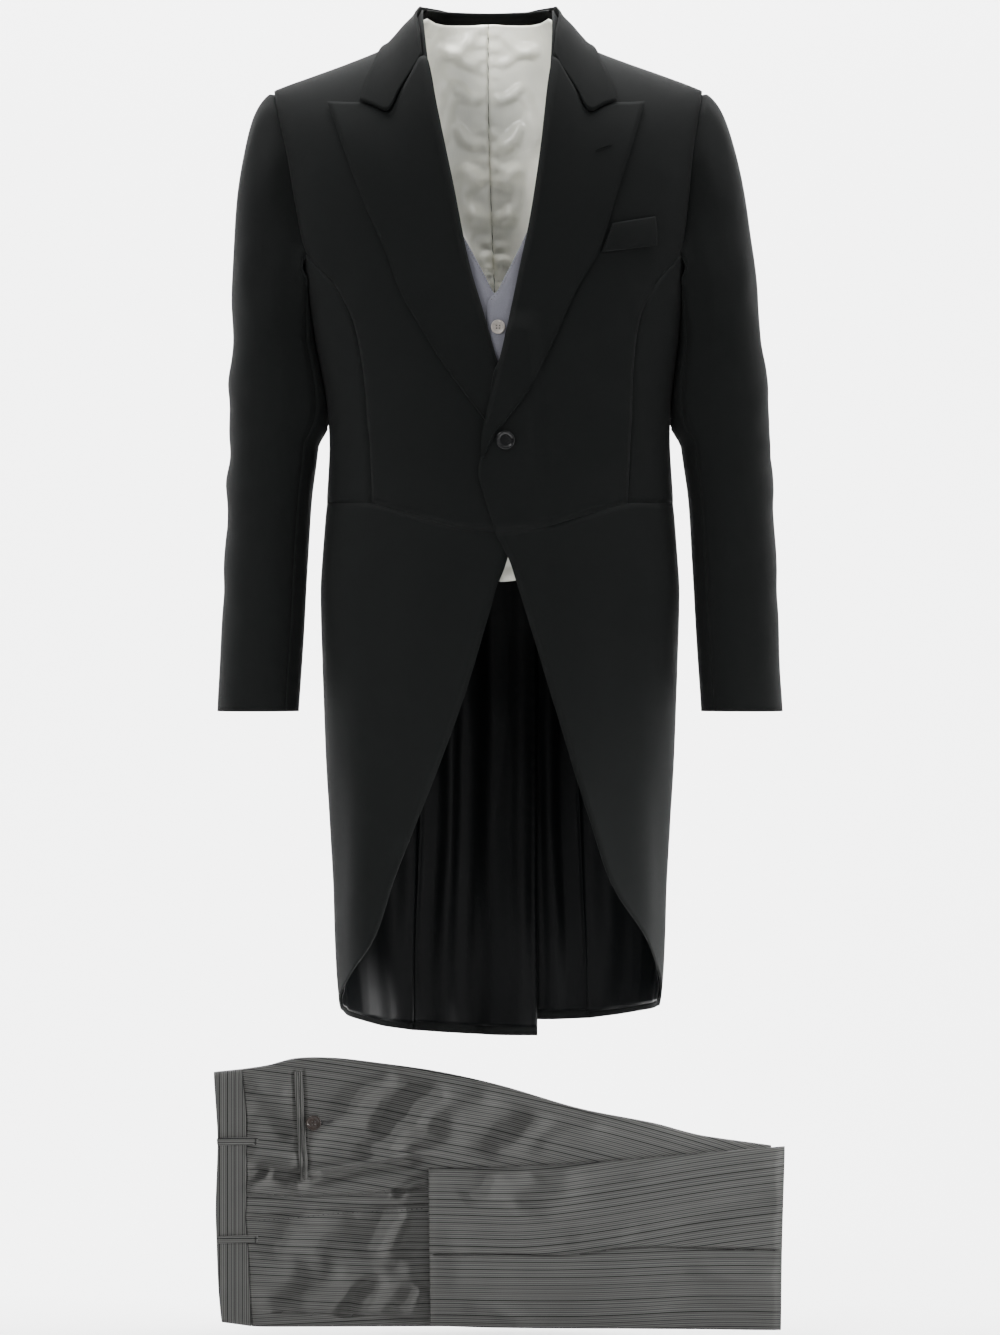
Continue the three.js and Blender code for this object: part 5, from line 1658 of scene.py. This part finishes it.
class SUIT_OT_studio(bpy.types.Operator):
    """Builds the pale sweep, the soft lights and the camera"""
    bl_idname = "suit.studio"
    bl_label = "Studio"

    def execute(self, context):
        bm = bmesh.new()
        profile = [(-7.0, -1.36), (-2.0, -1.36), (1.2, -1.36)]
        for k in range(1, 13):
            a = math.pi / 2 * k / 12
            profile.append((1.2 + 1.6 * math.sin(a), -1.36 + 1.6 * (1 - math.cos(a))))
        profile.append((2.8, 4.5))
        rows = [[bm.verts.new((x, y, z)) for x in (-8, 8)] for y, z in profile]
        for a, b in zip(rows, rows[1:]):
            bm.faces.new((a[0], a[1], b[1], b[0]))
        for face in bm.faces:
            face.smooth = True
        mesh = bpy.data.meshes.new("studio_sweep")
        bm.to_mesh(mesh)
        bm.free()
        paper = bpy.data.materials.new("studio_paper")
        paper.use_nodes = True
        shader = paper.node_tree.nodes["Principled BSDF"]
        shader.inputs["Base Color"].default_value = (0.9, 0.9, 0.9, 1)
        shader.inputs["Roughness"].default_value = 0.9
        mesh.materials.append(see_through_behind(paper))
        floor = link("studio_sweep", mesh)

        lamp("key", (-1.9, -3.6, 1.7), (0, 0, -0.6), (1.2, 1.4), 185)
        lamp("fill", (1.6, -4.4, 0.1), (0, 0, -0.6), (2.0, 2.4), 75)
        lamp("top", (0, -0.8, 3.0), (0, 0, -0.4), (2.4, 1.8), 60)
        graze = lamp("graze", (1.5, -0.55, -0.9), (-0.22, 0, -1.2), (0.25, 0.25), 5.2)
        graze.data.spread = math.radians(40)
        lamp("rim_left", (-2.4, 1.3, 0.2), (0, 0, -0.5), (1.0, 2.4), 12)
        lamp("rim_right", (2.4, 1.3, 0.2), (0, 0, -0.5), (1.0, 2.4), 12)
        lamp("back_wall", (0, 0.2, 2.9), (0, 2.8, -0.2), (5.0, 1.2), 1020)

        world = bpy.data.worlds.new("studio_air")
        world.use_nodes = True
        world.node_tree.nodes["Background"].inputs["Color"].default_value = (0.95, 0.97, 1, 1)
        world.node_tree.nodes["Background"].inputs["Strength"].default_value = 0.4
        context.scene.world = world

        data = bpy.data.cameras.new("camera")
        data.sensor_fit = "VERTICAL"
        data.sensor_height = 36
        data.lens = 36 * 5500 / 1415.1
        data.clip_end = 60
        camera = bpy.data.objects.new("camera", data)
        context.scene.collection.objects.link(camera)
        camera.location = (0.0127, -5.5, -0.64395)
        camera.rotation_euler = (math.pi / 2, 0, 0)
        context.scene.camera = camera
        return {"FINISHED"}


OPERATORS = (SUIT_OT_coat_body, SUIT_OT_coat_tails, SUIT_OT_lapels, SUIT_OT_collar,
             SUIT_OT_sleeves, SUIT_OT_waistcoat, SUIT_OT_fastenings, SUIT_OT_trousers,
             SUIT_OT_trouser_details, SUIT_OT_studio)


class SUIT_PT_panel(bpy.types.Panel):
    """The suit's sizes, colours and pieces"""
    bl_label = "Morning suit"
    bl_idname = "SUIT_PT_panel"
    bl_space_type = "VIEW_3D"
    bl_region_type = "UI"
    bl_category = "Suit"

    def draw(self, context):
        layout = self.layout
        for settings in (context.scene.suit_sizes, context.scene.suit_colours):
            box = layout.box()
            for name in settings.__annotations__:
                box.prop(settings, name)
        for operator in OPERATORS:
            layout.operator(operator.bl_idname)


CLASSES = (SuitSizes, SuitColours) + OPERATORS + (SUIT_PT_panel,)


def register():
    for cls in CLASSES:
        bpy.utils.register_class(cls)
    bpy.types.Scene.suit_sizes = PointerProperty(type=SuitSizes)
    bpy.types.Scene.suit_colours = PointerProperty(type=SuitColours)


def unregister():
    del bpy.types.Scene.suit_colours
    del bpy.types.Scene.suit_sizes
    for cls in reversed(CLASSES):
        bpy.utils.unregister_class(cls)


def main():
    register()
    bpy.ops.suit.coat_body()
    bpy.ops.suit.coat_tails()
    bpy.ops.suit.lapels()
    bpy.ops.suit.collar()
    bpy.ops.suit.sleeves()
    bpy.ops.suit.waistcoat()
    bpy.ops.suit.fastenings()
    bpy.ops.suit.trousers()
    bpy.ops.suit.trouser_details()
    bpy.ops.suit.studio()


if __name__ == "__main__":
    main()
